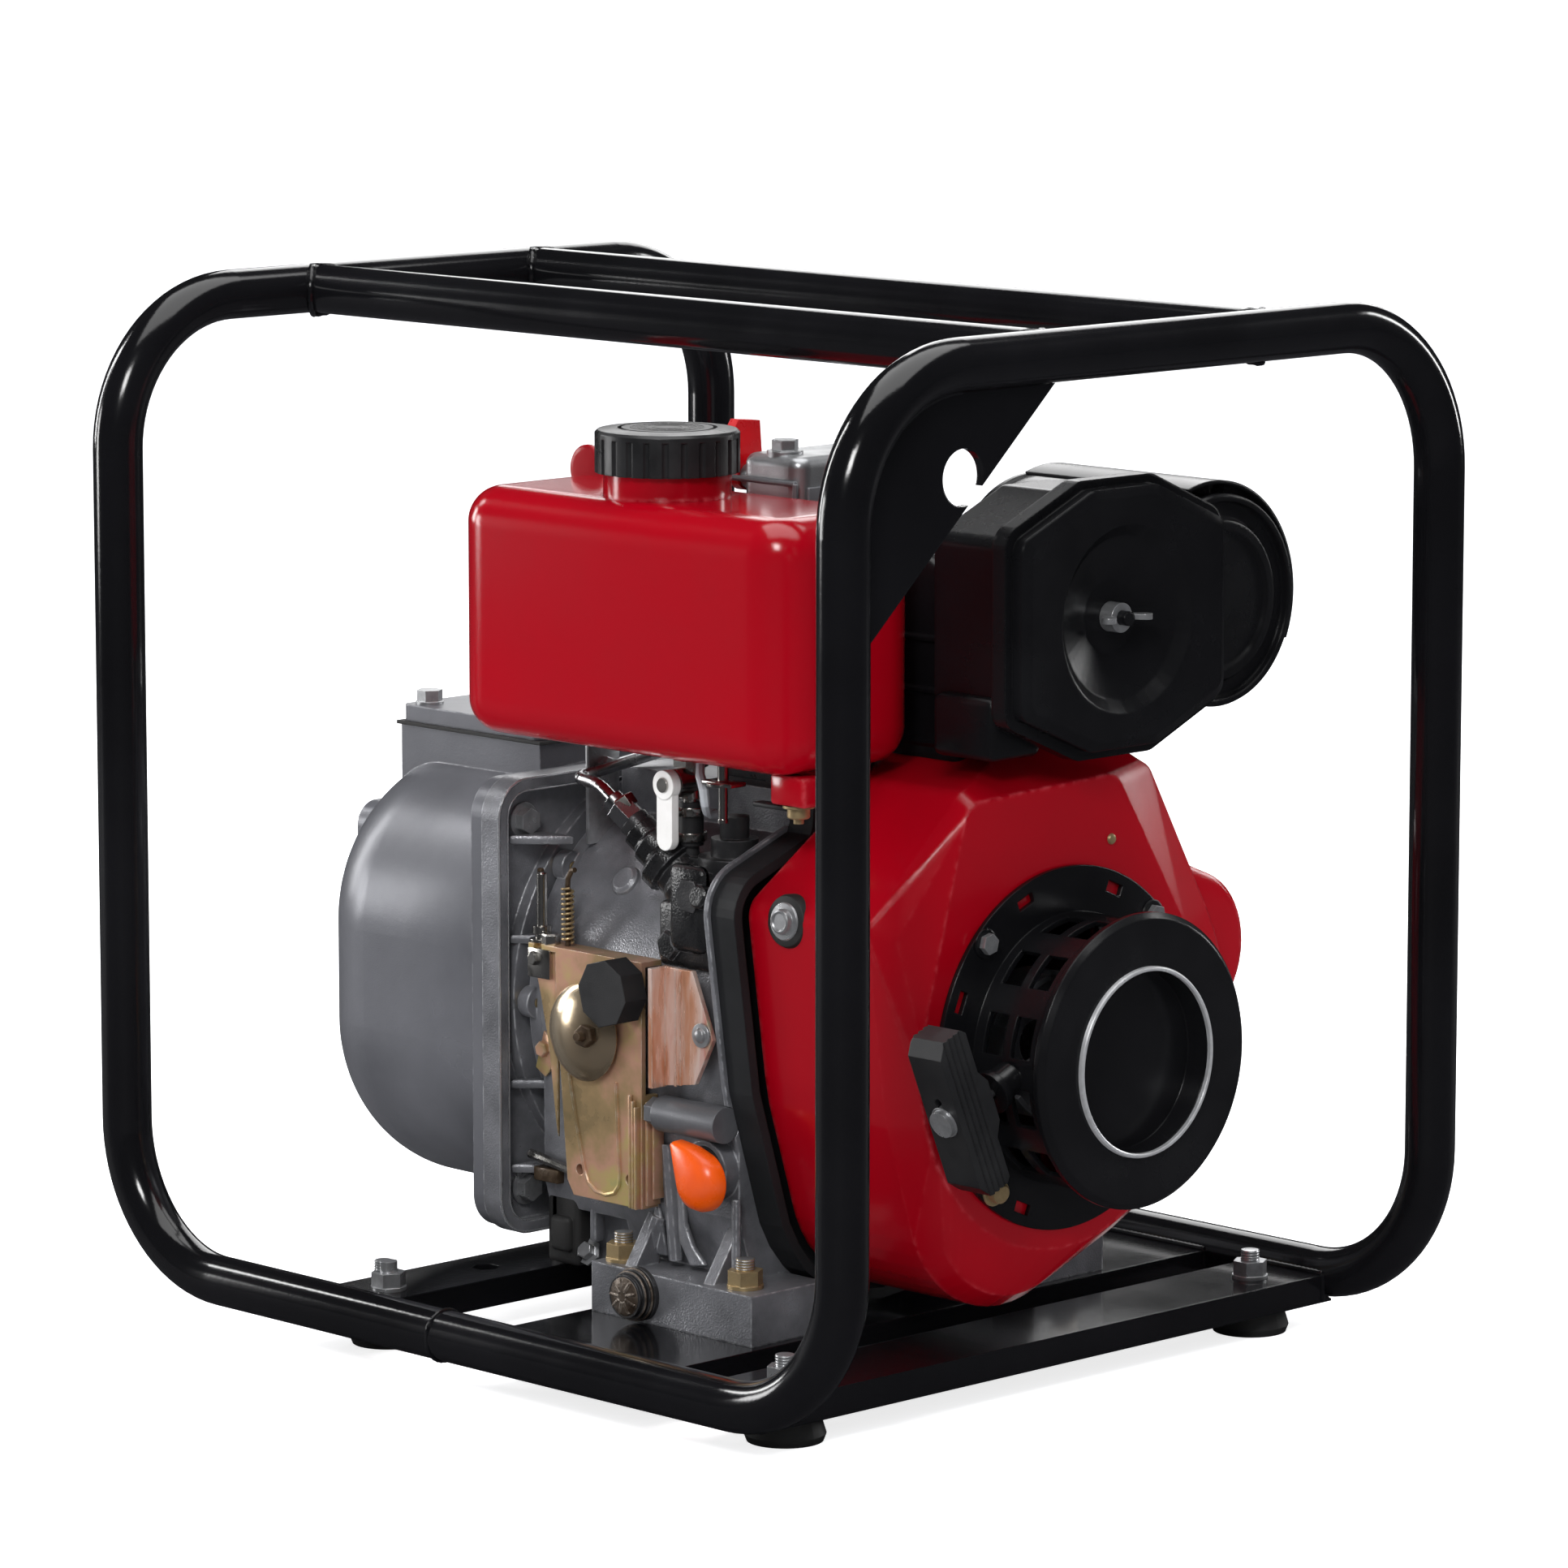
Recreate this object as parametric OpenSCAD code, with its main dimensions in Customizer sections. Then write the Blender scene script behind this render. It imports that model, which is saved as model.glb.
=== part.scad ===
/* [Frame tubes] */
// Outside diameter of the frame tube
tube_d = 28; // [25:0.5:30]
// Wall of the frame tube
tube_wall = 2; // [1.5:0.25:3]
// Distance between the post centres along X
frame_l = 576; // [574:1:640]
// Distance between the post centres along Y
frame_w = 460; // [450:1:520]
// Height over the top tubes, from the floor
frame_h = 586.5; // [575:0.5:640]
// Centreline radius of every tube bend
bend_r = 82; // [70:1:90]
// Distance between the two straight top rails
rail_gap = 170; // [150:1:200]
// X of the butt weld between the two bent halves
weld_x = -18; // [-30:1:-6]
// Thickness of the lifting gusset
gusset_t = 5; // [4:0.5:8]
// Hole of the lifting gusset
gusset_hole_d = 30; // [26:1:34]

/* [Base] */
// Height of the rubber feet
foot_h = 14; // [12:1:18]
// Diameter of the rubber feet
foot_d = 44; // [38:1:48]
// Distance of the feet from the middle plane
foot_y = 182.5; // [170:0.5:188]
// Height of the pressed crossmembers
member_h = 16; // [14:1:20]
// Sheet thickness of the crossmembers
member_t = 3; // [2.5:0.5:4]
// Middle of the front crossmember
front_member_x = 193.5; // [190:0.5:200]
// Width of the front crossmember
front_member_w = 57; // [52:1:60]
// Middle of the rear crossmember
rear_member_x = -122.5; // [-126:0.5:-120]
// Width of the rear crossmember
rear_member_w = 51; // [48:1:56]
// Middle of the engine plate
plate_x = 64.5; // [62:0.5:68]
// Width of the engine plate
plate_w = 135; // [130:1:138]
// Diameter of the foot and engine bolts
bolt_d = 10; // [8:1:10]

/* [Crank line] */
// Height of the crankshaft above the crossmembers
crank_h = 160; // [158:1:164]
// Diameter of the main journals
journal_d = 30; // [28:1:32]
// Throw radius of the crank pin
throw_r = 31; // [28:1:32]
// Radial clearance of everything that turns on or in its seat
run_clear = 0.05; // [0.03:0.01:0.08]
// Clearance of parts that pass each other
free_clear = 0.5; // [0.4:0.1:0.8]

/* [Crankcase] */
// Radius of the crankcase round the crank
case_r = 118; // [116:1:120]
// Drive end of the crankcase
case_x0 = -62; // [-64:1:-60]
// Flywheel end of the crankcase
case_x1 = 94; // [92:1:96]
// Wall of the crankcase
case_wall = 14; // [12:1:16]
// Distance of the engine foot bolts outside the crankcase
foot_bolt_out = 6; // [4:1:8]
// Height of the crankcase's feet
engine_foot_h = 28; // [24:1:30]

/* [Cylinder] */
// X of the cylinder axis
cyl_x = 42; // [40:1:44]
// Bore of the cylinder
cyl_bore = 70; // [66:1:74]
// Height of the cylinder deck above the crank
deck_h = 128; // [126:1:130]
// Height of the finned barrel
barrel_h = 82; // [78:1:86]
// Height of the finned head
head_h = 55; // [50:1:58]
// Number of cooling fins on the barrel
barrel_fins = 8; // [6:1:9]
// Thickness of a cooling fin
fin_t = 3; // [2.5:0.25:4]

/* [Cooling] */
// Radius of the blower scroll
scroll_r = 125; // [123:1:126]
// Height of the crank above the bottom of the blower housing
scroll_drop = 142; // [140:1:143]
// Rim of the backplate that stands out round the blower housing
plate_rim = 11; // [9:1:12]
// Face of the blower housing
shroud_x1 = 226; // [224:1:228]
// Sheet thickness of the blower housing
shroud_t = 2.5; // [2:0.5:3]
// Radius of the flywheel blower
flywheel_r = 106; // [100:1:110]
// Number of blower blades
blade_count = 16; // [12:1:20]

/* [Recoil starter] */
// Radius of the starter flange
starter_flange_r = 99; // [96:1:102]
// Radius of the starter cup wall
starter_cup_r = 74; // [72:1:76]
// Radius of the starter front rim
starter_rim_r = 80; // [78:1:84]
// Depth of the starter in front of its flange
starter_depth = 61; // [58:1:62]
// Radius of the bright ring in the front
starter_ring_r = 52; // [50:1:54]
// Radius at which the rope leaves the rope drum
drum_r = 25; // [23:1:28]
// Diameter of the starter rope
rope_d = 5; // [4:0.5:6]
// Slope of the rope from the drum to its guide
rope_slope = 22.6; // [20:0.2:24]
// Length of the pull grip
grip_l = 94; // [86:1:100]

/* [Fuel] */
// Length of the fuel tank
tank_l = 261; // [254:1:262]
// Width of the fuel tank
tank_w = 108; // [100:1:109]
// Depth of the tank's top below the top of the frame
tank_drop = 106.5; // [104:0.5:112]
// Height of the tank bottom above the crank
tank_z = 153; // [153:1:158]
// Wall of the fuel tank
tank_t = 3; // [2:0.5:4]
// Diameter of the filler neck
neck_d = 70; // [66:1:72]
// Diameter of the filler cap
cap_d = 79; // [78:1:84]

/* [Air filter] */
// Width of the filter cover
filter_w = 168; // [160:1:172]
// Length of the filter housing behind its cover
housing_l = 62; // [58:1:64]
// Thickness of the filter cover
filter_cover_t = 14; // [12:1:16]
// Height of the filter cover
filter_h = 150; // [146:1:152]
// Middle of the filter above the crank
filter_z = 233; // [231:1:236]
// Middle of the filter along Y
filter_y = 20; // [17:1:21]
// Radius of the dish round the wing nut
dish_r = 52; // [48:1:56]

/* [Exhaust] */
// Radius of the muffler drum
muffler_r = 59; // [56:1:59.5]
// Length of the muffler drum
muffler_l = 150; // [140:1:152]
// Y of the muffler axis
muffler_y = 151; // [151:0.5:153]
// Height of the muffler axis above the crank
muffler_z = 226; // [222:1:230]

/* [Controls] */
// Distance of the speed control plate outside the crankcase
plate_out = 8; // [7:0.5:10]
// Sheet thickness of the control plates
control_t = 3; // [2:0.5:3]
// Reach of the speed lever from its pivot to the knob
lever_reach = 42; // [38:1:44]

/* [Water pump] */
// Thickness of the adapter between pump and engine
flange_t = 14; // [12:1:16]
// Half width of the adapter
flange_w = 133; // [130:1:134]
// Half height of the adapter
flange_h = 129; // [126:1:130]
// Thickness of the casing's own flange
lip_t = 10; // [8:1:12]
// Half width of the pump casing
pump_half_w = 122; // [120:1:124]
// Length of the pump casing in front of its flange
pump_l = 171; // [166:1:172]
// Wall of the pump casing
pump_wall = 7; // [6:0.5:8]
// Radius of the casing's long lower edges
belly_r = 96; // [90:1:100]
// Radius of the casing's front edges
nose_r = 58; // [52:1:60]
// Radius of the suction and discharge ports
port_r = 29; // [26:0.5:31]
// Radius of the impeller
impeller_r = 62; // [58:1:64]
// Number of impeller blades
impeller_blades = 6; // [5:1:7]

/* [Hidden] */
$fn = 48;
base_z = foot_h + member_h;
crank_z = base_z + crank_h;
tube_r = tube_d / 2;
low_z = foot_h + tube_r;
top_z = frame_h - tube_r;
inner_y = frame_w / 2;
back_x0 = case_x1;
back_x1 = case_x1 + 18;
engine_bolt_y = case_r + foot_bolt_out;
plate_y = case_r + plate_out;
cover_x0 = case_x0 - 18;
flange_x0 = cover_x0 - flange_t;
pump_x0 = flange_x0 - pump_l;
journal_r = journal_d / 2;
bearing_r = 36;
bearing_w = 17;
deck_z = crank_z + deck_h;
head_z = deck_z + barrel_h;
rocker_z = head_z + head_h;
rocker_x0 = 12;
rocker_x1 = 63;
rocker_y0 = -40;
rocker_y1 = 58;
rocker_h = 37;
release_y = rocker_y0 + 12;
release_z = rocker_z + 29;
starter_x0 = shroud_x1;
starter_x1 = starter_x0 + 3 + starter_depth;
guide_x = starter_x0 + 29;
guide_out = 84;
guide_y = -guide_out * cos(rope_slope) - drum_r * sin(rope_slope);
guide_z = crank_z - guide_out * sin(rope_slope) + drum_r * cos(rope_slope);
pulley_post_r = 8;
tank_x0 = -98;
tank_x1 = tank_x0 + tank_l;
tank_y1 = -44;
tank_y0 = tank_y1 - tank_w;
tank_bottom = crank_z + tank_z;
tank_top = frame_h - tank_drop;
tank_h = tank_top - tank_bottom;
neck_x = 22;
neck_y = -100;
neck_top = tank_top + 17;
tank_corner = 26;
tank_edge = 20;
filter_mid = crank_z + filter_z;
filter_back = 176;
filter_split = filter_back + housing_l;
filter_face = filter_split + filter_cover_t;
dish_floor = 2;
rim_t = 3;
post_end = filter_split - dish_floor - 0.3;
filter_cut_w = 46;
filter_cut_h = 20;
box_narrow = 6;
intake_y = filter_y + 24;
intake_z = filter_mid - 8;
muffler_mid = crank_z + muffler_z;
muffler_x1 = 200;
muffler_x0 = muffler_x1 - muffler_l;
lever_x = -13;
lever_z = crank_z - 5;
knob_angle = 38;
tower_x0 = flange_x0 - 149;
tower_x1 = flange_x0 - 31;
tower_y = 60;
tower_top = crank_z + 133;
gasket_t = 2;
lid_t = 9.5;
suction_z = crank_z + 33;
suction_t = 18;
filler_x = 77;
filler_z = crank_z - 72;
filler_face = case_r + 8;
drain_x = 39;
drain_z = base_z + 16;
foot_x0 = 0;
foot_x1 = 126;
foot_face = engine_bolt_y + 14;
thread_r = 4;

// ---- Shared shapes -------------------------------------------------------------------------

// Lays a drawing of the Y-Z plane at x0; it is extruded towards +X.
module face_x(x0) {
    translate([x0, 0, 0]) rotate([90, 0, 90]) children();
}

// Lays a drawing of the X-Z plane at y0; it is extruded towards -Y.
module face_y(y0) {
    translate([0, y0, 0]) rotate([90, 0, 0]) children();
}

// Turns a profile of [radius, x] points about the crank line.
module about_crank() {
    translate([0, 0, crank_z]) rotate([90, 0, 90]) rotate_extrude() children();
}

module rod_x(x0, x1, y, z, r) {
    translate([x0, y, z]) rotate([0, 90, 0]) cylinder(r = r, h = x1 - x0);
}

module rod_y(x, y0, y1, z, r) {
    translate([x, y0, z]) rotate([-90, 0, 0]) cylinder(r = r, h = y1 - y0);
}

module rod_z(x, y, z0, z1, r) {
    translate([x, y, z0]) cylinder(r = r, h = z1 - z0);
}

module brick(x0, x1, y0, y1, z0, z1) {
    translate([x0, y0, z0]) cube([x1 - x0, y1 - y0, z1 - z0]);
}

module rounded_rect(w, d, r) {
    square([w - 2 * r, d], center = true);
    square([w, d - 2 * r], center = true);
    for (sx = [-1, 1], sy = [-1, 1])
        translate([sx * (w / 2 - r), sy * (d / 2 - r)]) circle(r);
}

module quarter_disc(r) {
    intersection() {
        circle(r);
        square(r);
    }
}

// The rounded end of a block: from the full outline at the bottom to a flat top inset by edge.
module rounded_cap(w, d, corner, edge) {
    linear_extrude(edge) rounded_rect(w - 2 * edge, d - 2 * edge, corner - edge);
    for (k = [0 : 3]) {
        along = k % 2 == 0 ? w : d;
        across = k % 2 == 0 ? d : w;
        rotate([0, 0, 90 * k]) {
            translate([corner - along / 2, across / 2 - edge, 0])
                rotate([90, 0, 90]) linear_extrude(along - 2 * corner) quarter_disc(edge);
            translate([along / 2 - corner, across / 2 - corner, 0])
                rotate_extrude(angle = 90)
                    translate([corner - edge, 0]) quarter_disc(edge);
        }
    }
}

// A block with rounded corners and rounded top and bottom edges, standing on z = 0.
module rounded_block(w, d, h, corner, edge) {
    translate([0, 0, edge]) linear_extrude(h - 2 * edge) rounded_rect(w, d, corner);
    translate([0, 0, h - edge]) rounded_cap(w, d, corner, edge);
    translate([0, 0, edge]) mirror([0, 0, 1]) rounded_cap(w, d, corner, edge);
}

// A quarter bend in the local X-Y plane, from +X to +Y.
module quarter_bend(r, bend) {
    rotate_extrude(angle = 90) translate([bend, 0]) circle(r);
}

module hex_head(af, h) {
    cylinder(r = af / sqrt(3), h = h, $fn = 6);
}

// Points of a route whose inner corners are bent with the given reach.
function bent(route, reach) = [
    for (k = [0 : len(route) - 1])
        if (k == 0 || k == len(route) - 1) route[k]
        else let (
            back = route[k - 1] - route[k],
            ahead = route[k + 1] - route[k],
            from = route[k] + back / norm(back) * reach,
            to = route[k] + ahead / norm(ahead) * reach
        )
            for (t = [0 : 0.25 : 1])
                from * (1 - t) * (1 - t) + route[k] * 2 * t * (1 - t) + to * t * t
];

// A round bar along a route of points.
module round_run(points, r) {
    for (k = [0 : len(points) - 2]) {
        step = points[k + 1] - points[k];
        translate(points[k]) rotate([0, acos(step[2] / norm(step)), atan2(step[1], step[0])]) {
            cylinder(r = r, h = norm(step));
            if (k > 0) sphere(r + 0.1);
        }
    }
}

// ---- Frame ---------------------------------------------------------------------------------

// One half of the frame, drawn at the +X end: rail, post, top bar, post and rail in one tube.
module hoop_path(r, open_x) {
    post_x = frame_l / 2;
    for (side = [-1, 1]) mirror([0, side < 0 ? 1 : 0, 0]) {
        rod_x(open_x, post_x - bend_r, inner_y, low_z, r);
        translate([post_x - bend_r, inner_y, low_z + bend_r])
            rotate([90, 0, 0]) rotate([0, 0, -90]) quarter_bend(r, bend_r);
        rod_z(post_x, inner_y, low_z + bend_r, top_z - bend_r, r);
        translate([post_x, inner_y - bend_r, top_z - bend_r])
            rotate([90, 0, 90]) quarter_bend(r, bend_r);
    }
    rod_y(post_x, bend_r - inner_y, inner_y - bend_r, top_z, r);
}

module hoop(open_x) {
    difference() {
        hoop_path(tube_r, open_x);
        hoop_path(tube_r - tube_wall, open_x - 1);
    }
}

module starter_end_hoop() {
    color("#111214") hoop(weld_x);
}

module pump_end_hoop() {
    color("#111214") mirror([1, 0, 0]) hoop(-weld_x);
}

// A straight rail whose ends are coped round the two top bars.
module top_rail(side) {
    reach = frame_l / 2 - tube_r + 4;
    difference() {
        rod_x(-reach, reach, side * rail_gap / 2, top_z, tube_r);
        rod_x(-reach - 1, reach + 1, side * rail_gap / 2, top_z, tube_r - tube_wall);
        for (end = [-1, 1])
            rod_y(end * frame_l / 2, -rail_gap, rail_gap, top_z, tube_r + 0.1);
    }
}

module top_rails() {
    color("#111214") for (side = [-1, 1]) top_rail(side);
}

// Flat plate in the inner bend above the fuel tank's outer corner.
module lifting_gusset() {
    reach = 60;
    corner_y = bend_r - inner_y;
    corner_z = top_z - bend_r;
    color("#111214") difference() {
        face_x(frame_l / 2 - gusset_t / 2) linear_extrude(gusset_t) difference() {
            polygon([
                [corner_y - bend_r + tube_r - 2, corner_z - reach],
                [corner_y + reach + 12, top_z - tube_r + 2],
                [corner_y, top_z - tube_r + 2],
                [corner_y - bend_r, top_z],
                [corner_y - bend_r, corner_z - reach]
            ]);
            difference() {
                translate([corner_y - bend_r - tube_r, corner_z])
                    square([bend_r + tube_r, bend_r + tube_r]);
                translate([corner_y, corner_z]) circle(bend_r - tube_r - 0.1, $fn = 96);
            }
        }
        rod_z(frame_l / 2, -inner_y, corner_z - reach - 1, corner_z + 1, tube_r + 0.1);
        rod_y(frame_l / 2, corner_y - 1, 0, top_z, tube_r + 0.1);
        rod_x(0, frame_l, corner_y + 2, corner_z + 24, gusset_hole_d / 2);
    }
}

// ---- Base ----------------------------------------------------------------------------------

// Pressed channel, open downwards, whose ends are coped to the bottom rails.
module crossmember(x, w) {
    difference() {
        brick(x - w / 2, x + w / 2, -inner_y + 6, inner_y - 6, foot_h, base_z);
        brick(x - w / 2 + member_t, x + w / 2 - member_t, -inner_y, inner_y,
            foot_h - 1, base_z - member_t);
        for (side = [-1, 1])
            rod_x(x - w, x + w, side * inner_y, low_z, tube_r + 0.1);
    }
}

module foot_holes(x) {
    for (side = [-1, 1]) rod_z(x, side * foot_y, 0, base_z + 1, bolt_d / 2 + 0.3);
}

front_foot_x = front_member_x + 4;
rear_foot_x = rear_member_x + 4;

module front_crossmember() {
    color("#17181a") difference() {
        crossmember(front_member_x, front_member_w);
        foot_holes(front_foot_x);
    }
}

pump_mount_y = 36;
pump_foot_z = base_z + 14;

module rear_crossmember() {
    color("#17181a") difference() {
        crossmember(rear_member_x, rear_member_w);
        foot_holes(rear_foot_x);
        for (side = [-1, 1])
            rod_z(rear_member_x, side * pump_mount_y, foot_h, base_z + 1, bolt_d / 2 + 0.3);
        for (side = [-1, 1])
            translate([rear_member_x, side * 106, foot_h]) hex_head(14, member_h + 1);
    }
}

engine_bolt_x = [11, 107];

module engine_plate() {
    color("#17181a") difference() {
        crossmember(plate_x, plate_w);
        for (x = engine_bolt_x, side = [-1, 1])
            rod_z(x, side * engine_bolt_y, foot_h, base_z + 1, bolt_d / 2 + 0.3);
    }
}

module rubber_feet() {
    color("#0c0c0d")
        for (x = [front_foot_x, rear_foot_x], side = [-1, 1]) translate([x, side * foot_y, 0])
            rotate_extrude() polygon([
                [6, 3], [6, foot_h], [foot_d / 2 - 3, foot_h], [foot_d / 2, 4],
                [foot_d / 2 - 1.5, 0], [11, 0], [11, 3]
            ]);
}

// A bolt standing up through a sheet: head below, washer, nut and a stud end above.
module stud_and_nut(low, high, head_r) {
    cylinder(r = head_r, h = 2.5);
    cylinder(r = bolt_d / 2, h = high - low + 16);
    translate([0, 0, high - low]) cylinder(r = bolt_d, h = 2);
    translate([0, 0, high - low + 2]) hex_head(bolt_d * 1.7, bolt_d * 0.8);
}

module foot_bolts() {
    color("#b9bcc0")
        for (x = [front_foot_x, rear_foot_x], side = [-1, 1])
            translate([x, side * foot_y, foot_h]) stud_and_nut(foot_h, base_z, 14);
}

// ---- Crankcase and crank -------------------------------------------------------------------

// The space that the crankcase's round body fills, for pieces that seat on it.
module case_seat() {
    rod_x(case_x0 - 1, case_x1 + 1, 0, crank_z, case_r + 0.1, $fn = 96);
}

module crankcase() {
    low = base_z + 15;
    foot_top = base_z + engine_foot_h;
    inner_r = case_r - case_wall;
    color("#8d9093") difference() {
        union() {
            face_x(case_x0) linear_extrude(case_x1 - case_x0) union() {
                translate([0, crank_z]) circle(case_r, $fn = 96);
                polygon([[-case_r + 2, crank_z], [-case_r + 2, crank_z - 98],
                    [-case_r + 10, low + 20], [-case_r + 14, low], [case_r - 14, low],
                    [case_r - 10, low + 20], [case_r - 2, crank_z - 98], [case_r - 2, crank_z]]);
                polygon([[-56, crank_z + 80], [-56, deck_z], [64, deck_z], [64, crank_z + 80]]);
            }
            for (side = [-1, 1]) mirror([0, side < 0 ? 1 : 0, 0]) {
                brick(foot_x0, foot_x1, case_r - 36, foot_face, base_z, foot_top);
                for (x = [foot_x0 + 22, case_x1 - 10])
                    face_x(x) linear_extrude(8) polygon([[case_r - 3, foot_top - 1],
                        [foot_face - 4, foot_top - 1], [case_r - 3, foot_top + 28]]);
            }
            rod_y(filler_x, -filler_face, -case_r + 4, filler_z, 17);
            crankcase_rim();
        }
        about_crank() polygon([[0, case_x0 - 1], [inner_r, case_x0 - 1], [inner_r, case_x1 - 26],
            [bearing_r, case_x1 - 26], [bearing_r, case_x1 - 9], [26, case_x1 - 9],
            [26, case_x1 + 1], [0, case_x1 + 1]]);
        rod_z(cyl_x, 0, crank_z, deck_z + 1, cyl_bore / 2 + 5.05);
        for (side = [-1, 1]) mirror([0, side < 0 ? 1 : 0, 0])
            brick(case_x0 - 1, foot_x0, case_r - 20, case_r + 1, low - 1, low + 32);
        for (x = engine_bolt_x, side = [-1, 1])
            rod_z(x, side * engine_bolt_y, base_z - 1, foot_top + 1, bolt_d / 2 + 0.3);
        rod_y(filler_x, -filler_face - 1, -64, filler_z, 9);
        rod_y(drain_x, -foot_face - 1, -foot_face + 22, drain_z, 8.05);
    }
}

// Cast rim that carries the dark plate, cleared for what is mounted in front of it.
module crankcase_rim() {
    y_out = -case_r - scroll_r;
    difference() {
        face_x(case_x1 - rim_t) linear_extrude(rim_t) scroll_outline(plate_rim + 2.5);
        brick(case_x1 - 10, case_x1 + 1, y_out, -y_out, 0, base_z);
        brick(case_x1 - 10, case_x1 + 1, y_out, -y_out, deck_z - 14, deck_z + 200);
        rod_y(filler_x, y_out, -case_r + 6, filler_z, 17.5);
        rod_x(case_x1 - 10, case_x1 + 1, -case_r - 8.2, filler_z + 27 + free_clear, 10.4);
    }
}

module crankcase_cover() {
    color("#85888b") difference() {
        union() {
            about_crank() polygon([[bearing_r, cover_x0], [case_r - 8, cover_x0],
                [case_r - 2, cover_x0 + 6], [case_r - 2, case_x0], [bearing_r, case_x0]]);
            about_crank() polygon([[bearing_r - 8, cover_x0], [bearing_r, cover_x0],
                [bearing_r, cover_x0 + 3], [bearing_r - 8, cover_x0 + 3]]);
            face_x(cover_x0 + 4) linear_extrude(8) difference() {
                for (a = [20 : 40 : 340])
                    translate([0, crank_z]) rotate(a) translate([case_r - 4, 0]) circle(9);
                translate([0, crank_z]) circle(case_r - 3);
            }
        }
        for (a = [20 : 40 : 340])
            translate([0, 0, crank_z]) rotate([a, 0, 0]) translate([cover_x0, case_r - 4, 0])
                rotate([0, 90, 0]) {
                    cylinder(r = 3.2, h = 12.5);
                    translate([0, 0, -1]) cylinder(r = 6, h = 5.2);
                }
    }
}

module main_bearings() {
    color("#c9ccd0")
        for (x = [cover_x0 + 3, case_x1 - 9 - bearing_w]) about_crank() difference() {
            translate([journal_r + run_clear, x])
                square([bearing_r - 0.02 - journal_r - run_clear, min(bearing_w, 15)]);
            translate([bearing_r - 9, x - 1]) square([3, 2.5]);
        }
}

crank_web_r = throw_r + 26;
impeller_x = flange_x0 - 32;
flywheel_x = back_x1 + 6;

module crankshaft() {
    web = 14;
    color("#9b9ea2") union() {
        rod_x(impeller_x - 14, cover_x0 - 4, 0, crank_z, 10);
        rod_x(cover_x0 - 4, -30, 0, crank_z, journal_r);
        rod_x(48, back_x1 + 2, 0, crank_z, journal_r);
        rod_x(back_x1 + 2, starter_x0 - 22, 0, crank_z, 12);
        for (x = [-30, 34]) {
            rod_x(x, x + web, 0, crank_z, 24);
            face_x(x) linear_extrude(web) translate([0, crank_z]) difference() {
                union() {
                    intersection() {
                        circle(crank_web_r);
                        translate([-crank_web_r, -crank_web_r])
                            square([2 * crank_web_r, crank_web_r]);
                    }
                    translate([-22, -1]) square([44, throw_r]);
                    translate([0, throw_r]) circle(22);
                }
            }
        }
        rod_x(-18, 36, 0, crank_z + throw_r, 17);
    }
}

module engine_bolts() {
    color("#b9bcc0") {
        for (x = engine_bolt_x, side = [-1, 1])
            translate([x, side * engine_bolt_y, base_z - member_t - 2.5])
                stud_and_nut(base_z - member_t - 2.5, base_z + engine_foot_h, bolt_d * 0.9);
        for (a = [20 : 40 : 340])
            translate([0, 0, crank_z]) rotate([a, 0, 0]) translate([0, case_r - 4, 0]) {
                rod_x(cover_x0 + 0.3, cover_x0 + 4, 0, 0, 5.5);
                rod_x(cover_x0 + 3.9, cover_x0 + 12, 0, 0, 3);
            }
    }
}

// ---- Cylinder ------------------------------------------------------------------------------

module fin_stack(w, d, z0, h, count) {
    pitch = h / count;
    for (k = [0 : count - 1])
        translate([0, 0, z0 + pitch * (k + 0.5) - fin_t / 2])
            linear_extrude(fin_t) rounded_rect(w, d, 12);
}

module cylinder_barrel() {
    color("#3a3c3e") difference() {
        union() {
            translate([cyl_x, 2, 0]) fin_stack(98, 84, deck_z + 8, barrel_h - 22, barrel_fins);
            rod_z(cyl_x, 0, deck_z - 30, head_z, cyl_bore / 2 + 5);
            translate([cyl_x, 2, deck_z]) linear_extrude(8) rounded_rect(98, 84, 12);
        }
        rod_z(cyl_x, 0, deck_z - 31, head_z + 1, cyl_bore / 2);
    }
}

module cylinder_head() {
    color("#8d9093") difference() {
        union() {
            translate([cyl_x + 2, 14, head_z]) linear_extrude(10) rounded_rect(108, 108, 10);
            translate([cyl_x + 2, 14, 0]) fin_stack(108, 108, head_z + 12, head_h - 22, 4);
            translate([cyl_x + 2, 14, head_z]) linear_extrude(head_h - 8)
                rounded_rect(86, 72, 8);
            translate([(rocker_x0 + rocker_x1) / 2, (rocker_y0 + rocker_y1) / 2, rocker_z - 10])
                linear_extrude(10)
                    rounded_rect(rocker_x1 - rocker_x0 + 4, rocker_y1 - rocker_y0 + 3, 8);
            rod_y(cyl_x, 60, 74, muffler_mid, 24);
            rod_x(cyl_x + 44, cyl_x + 62, intake_y, intake_z, 24);
        }
        rod_y(cyl_x, 30, 75, muffler_mid, 15);
        rod_x(cyl_x + 30, cyl_x + 63, intake_y, intake_z, 16);
        rod_x(-20, cyl_x - 20, -24, head_z + 24, 7.05);
    }
}

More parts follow.
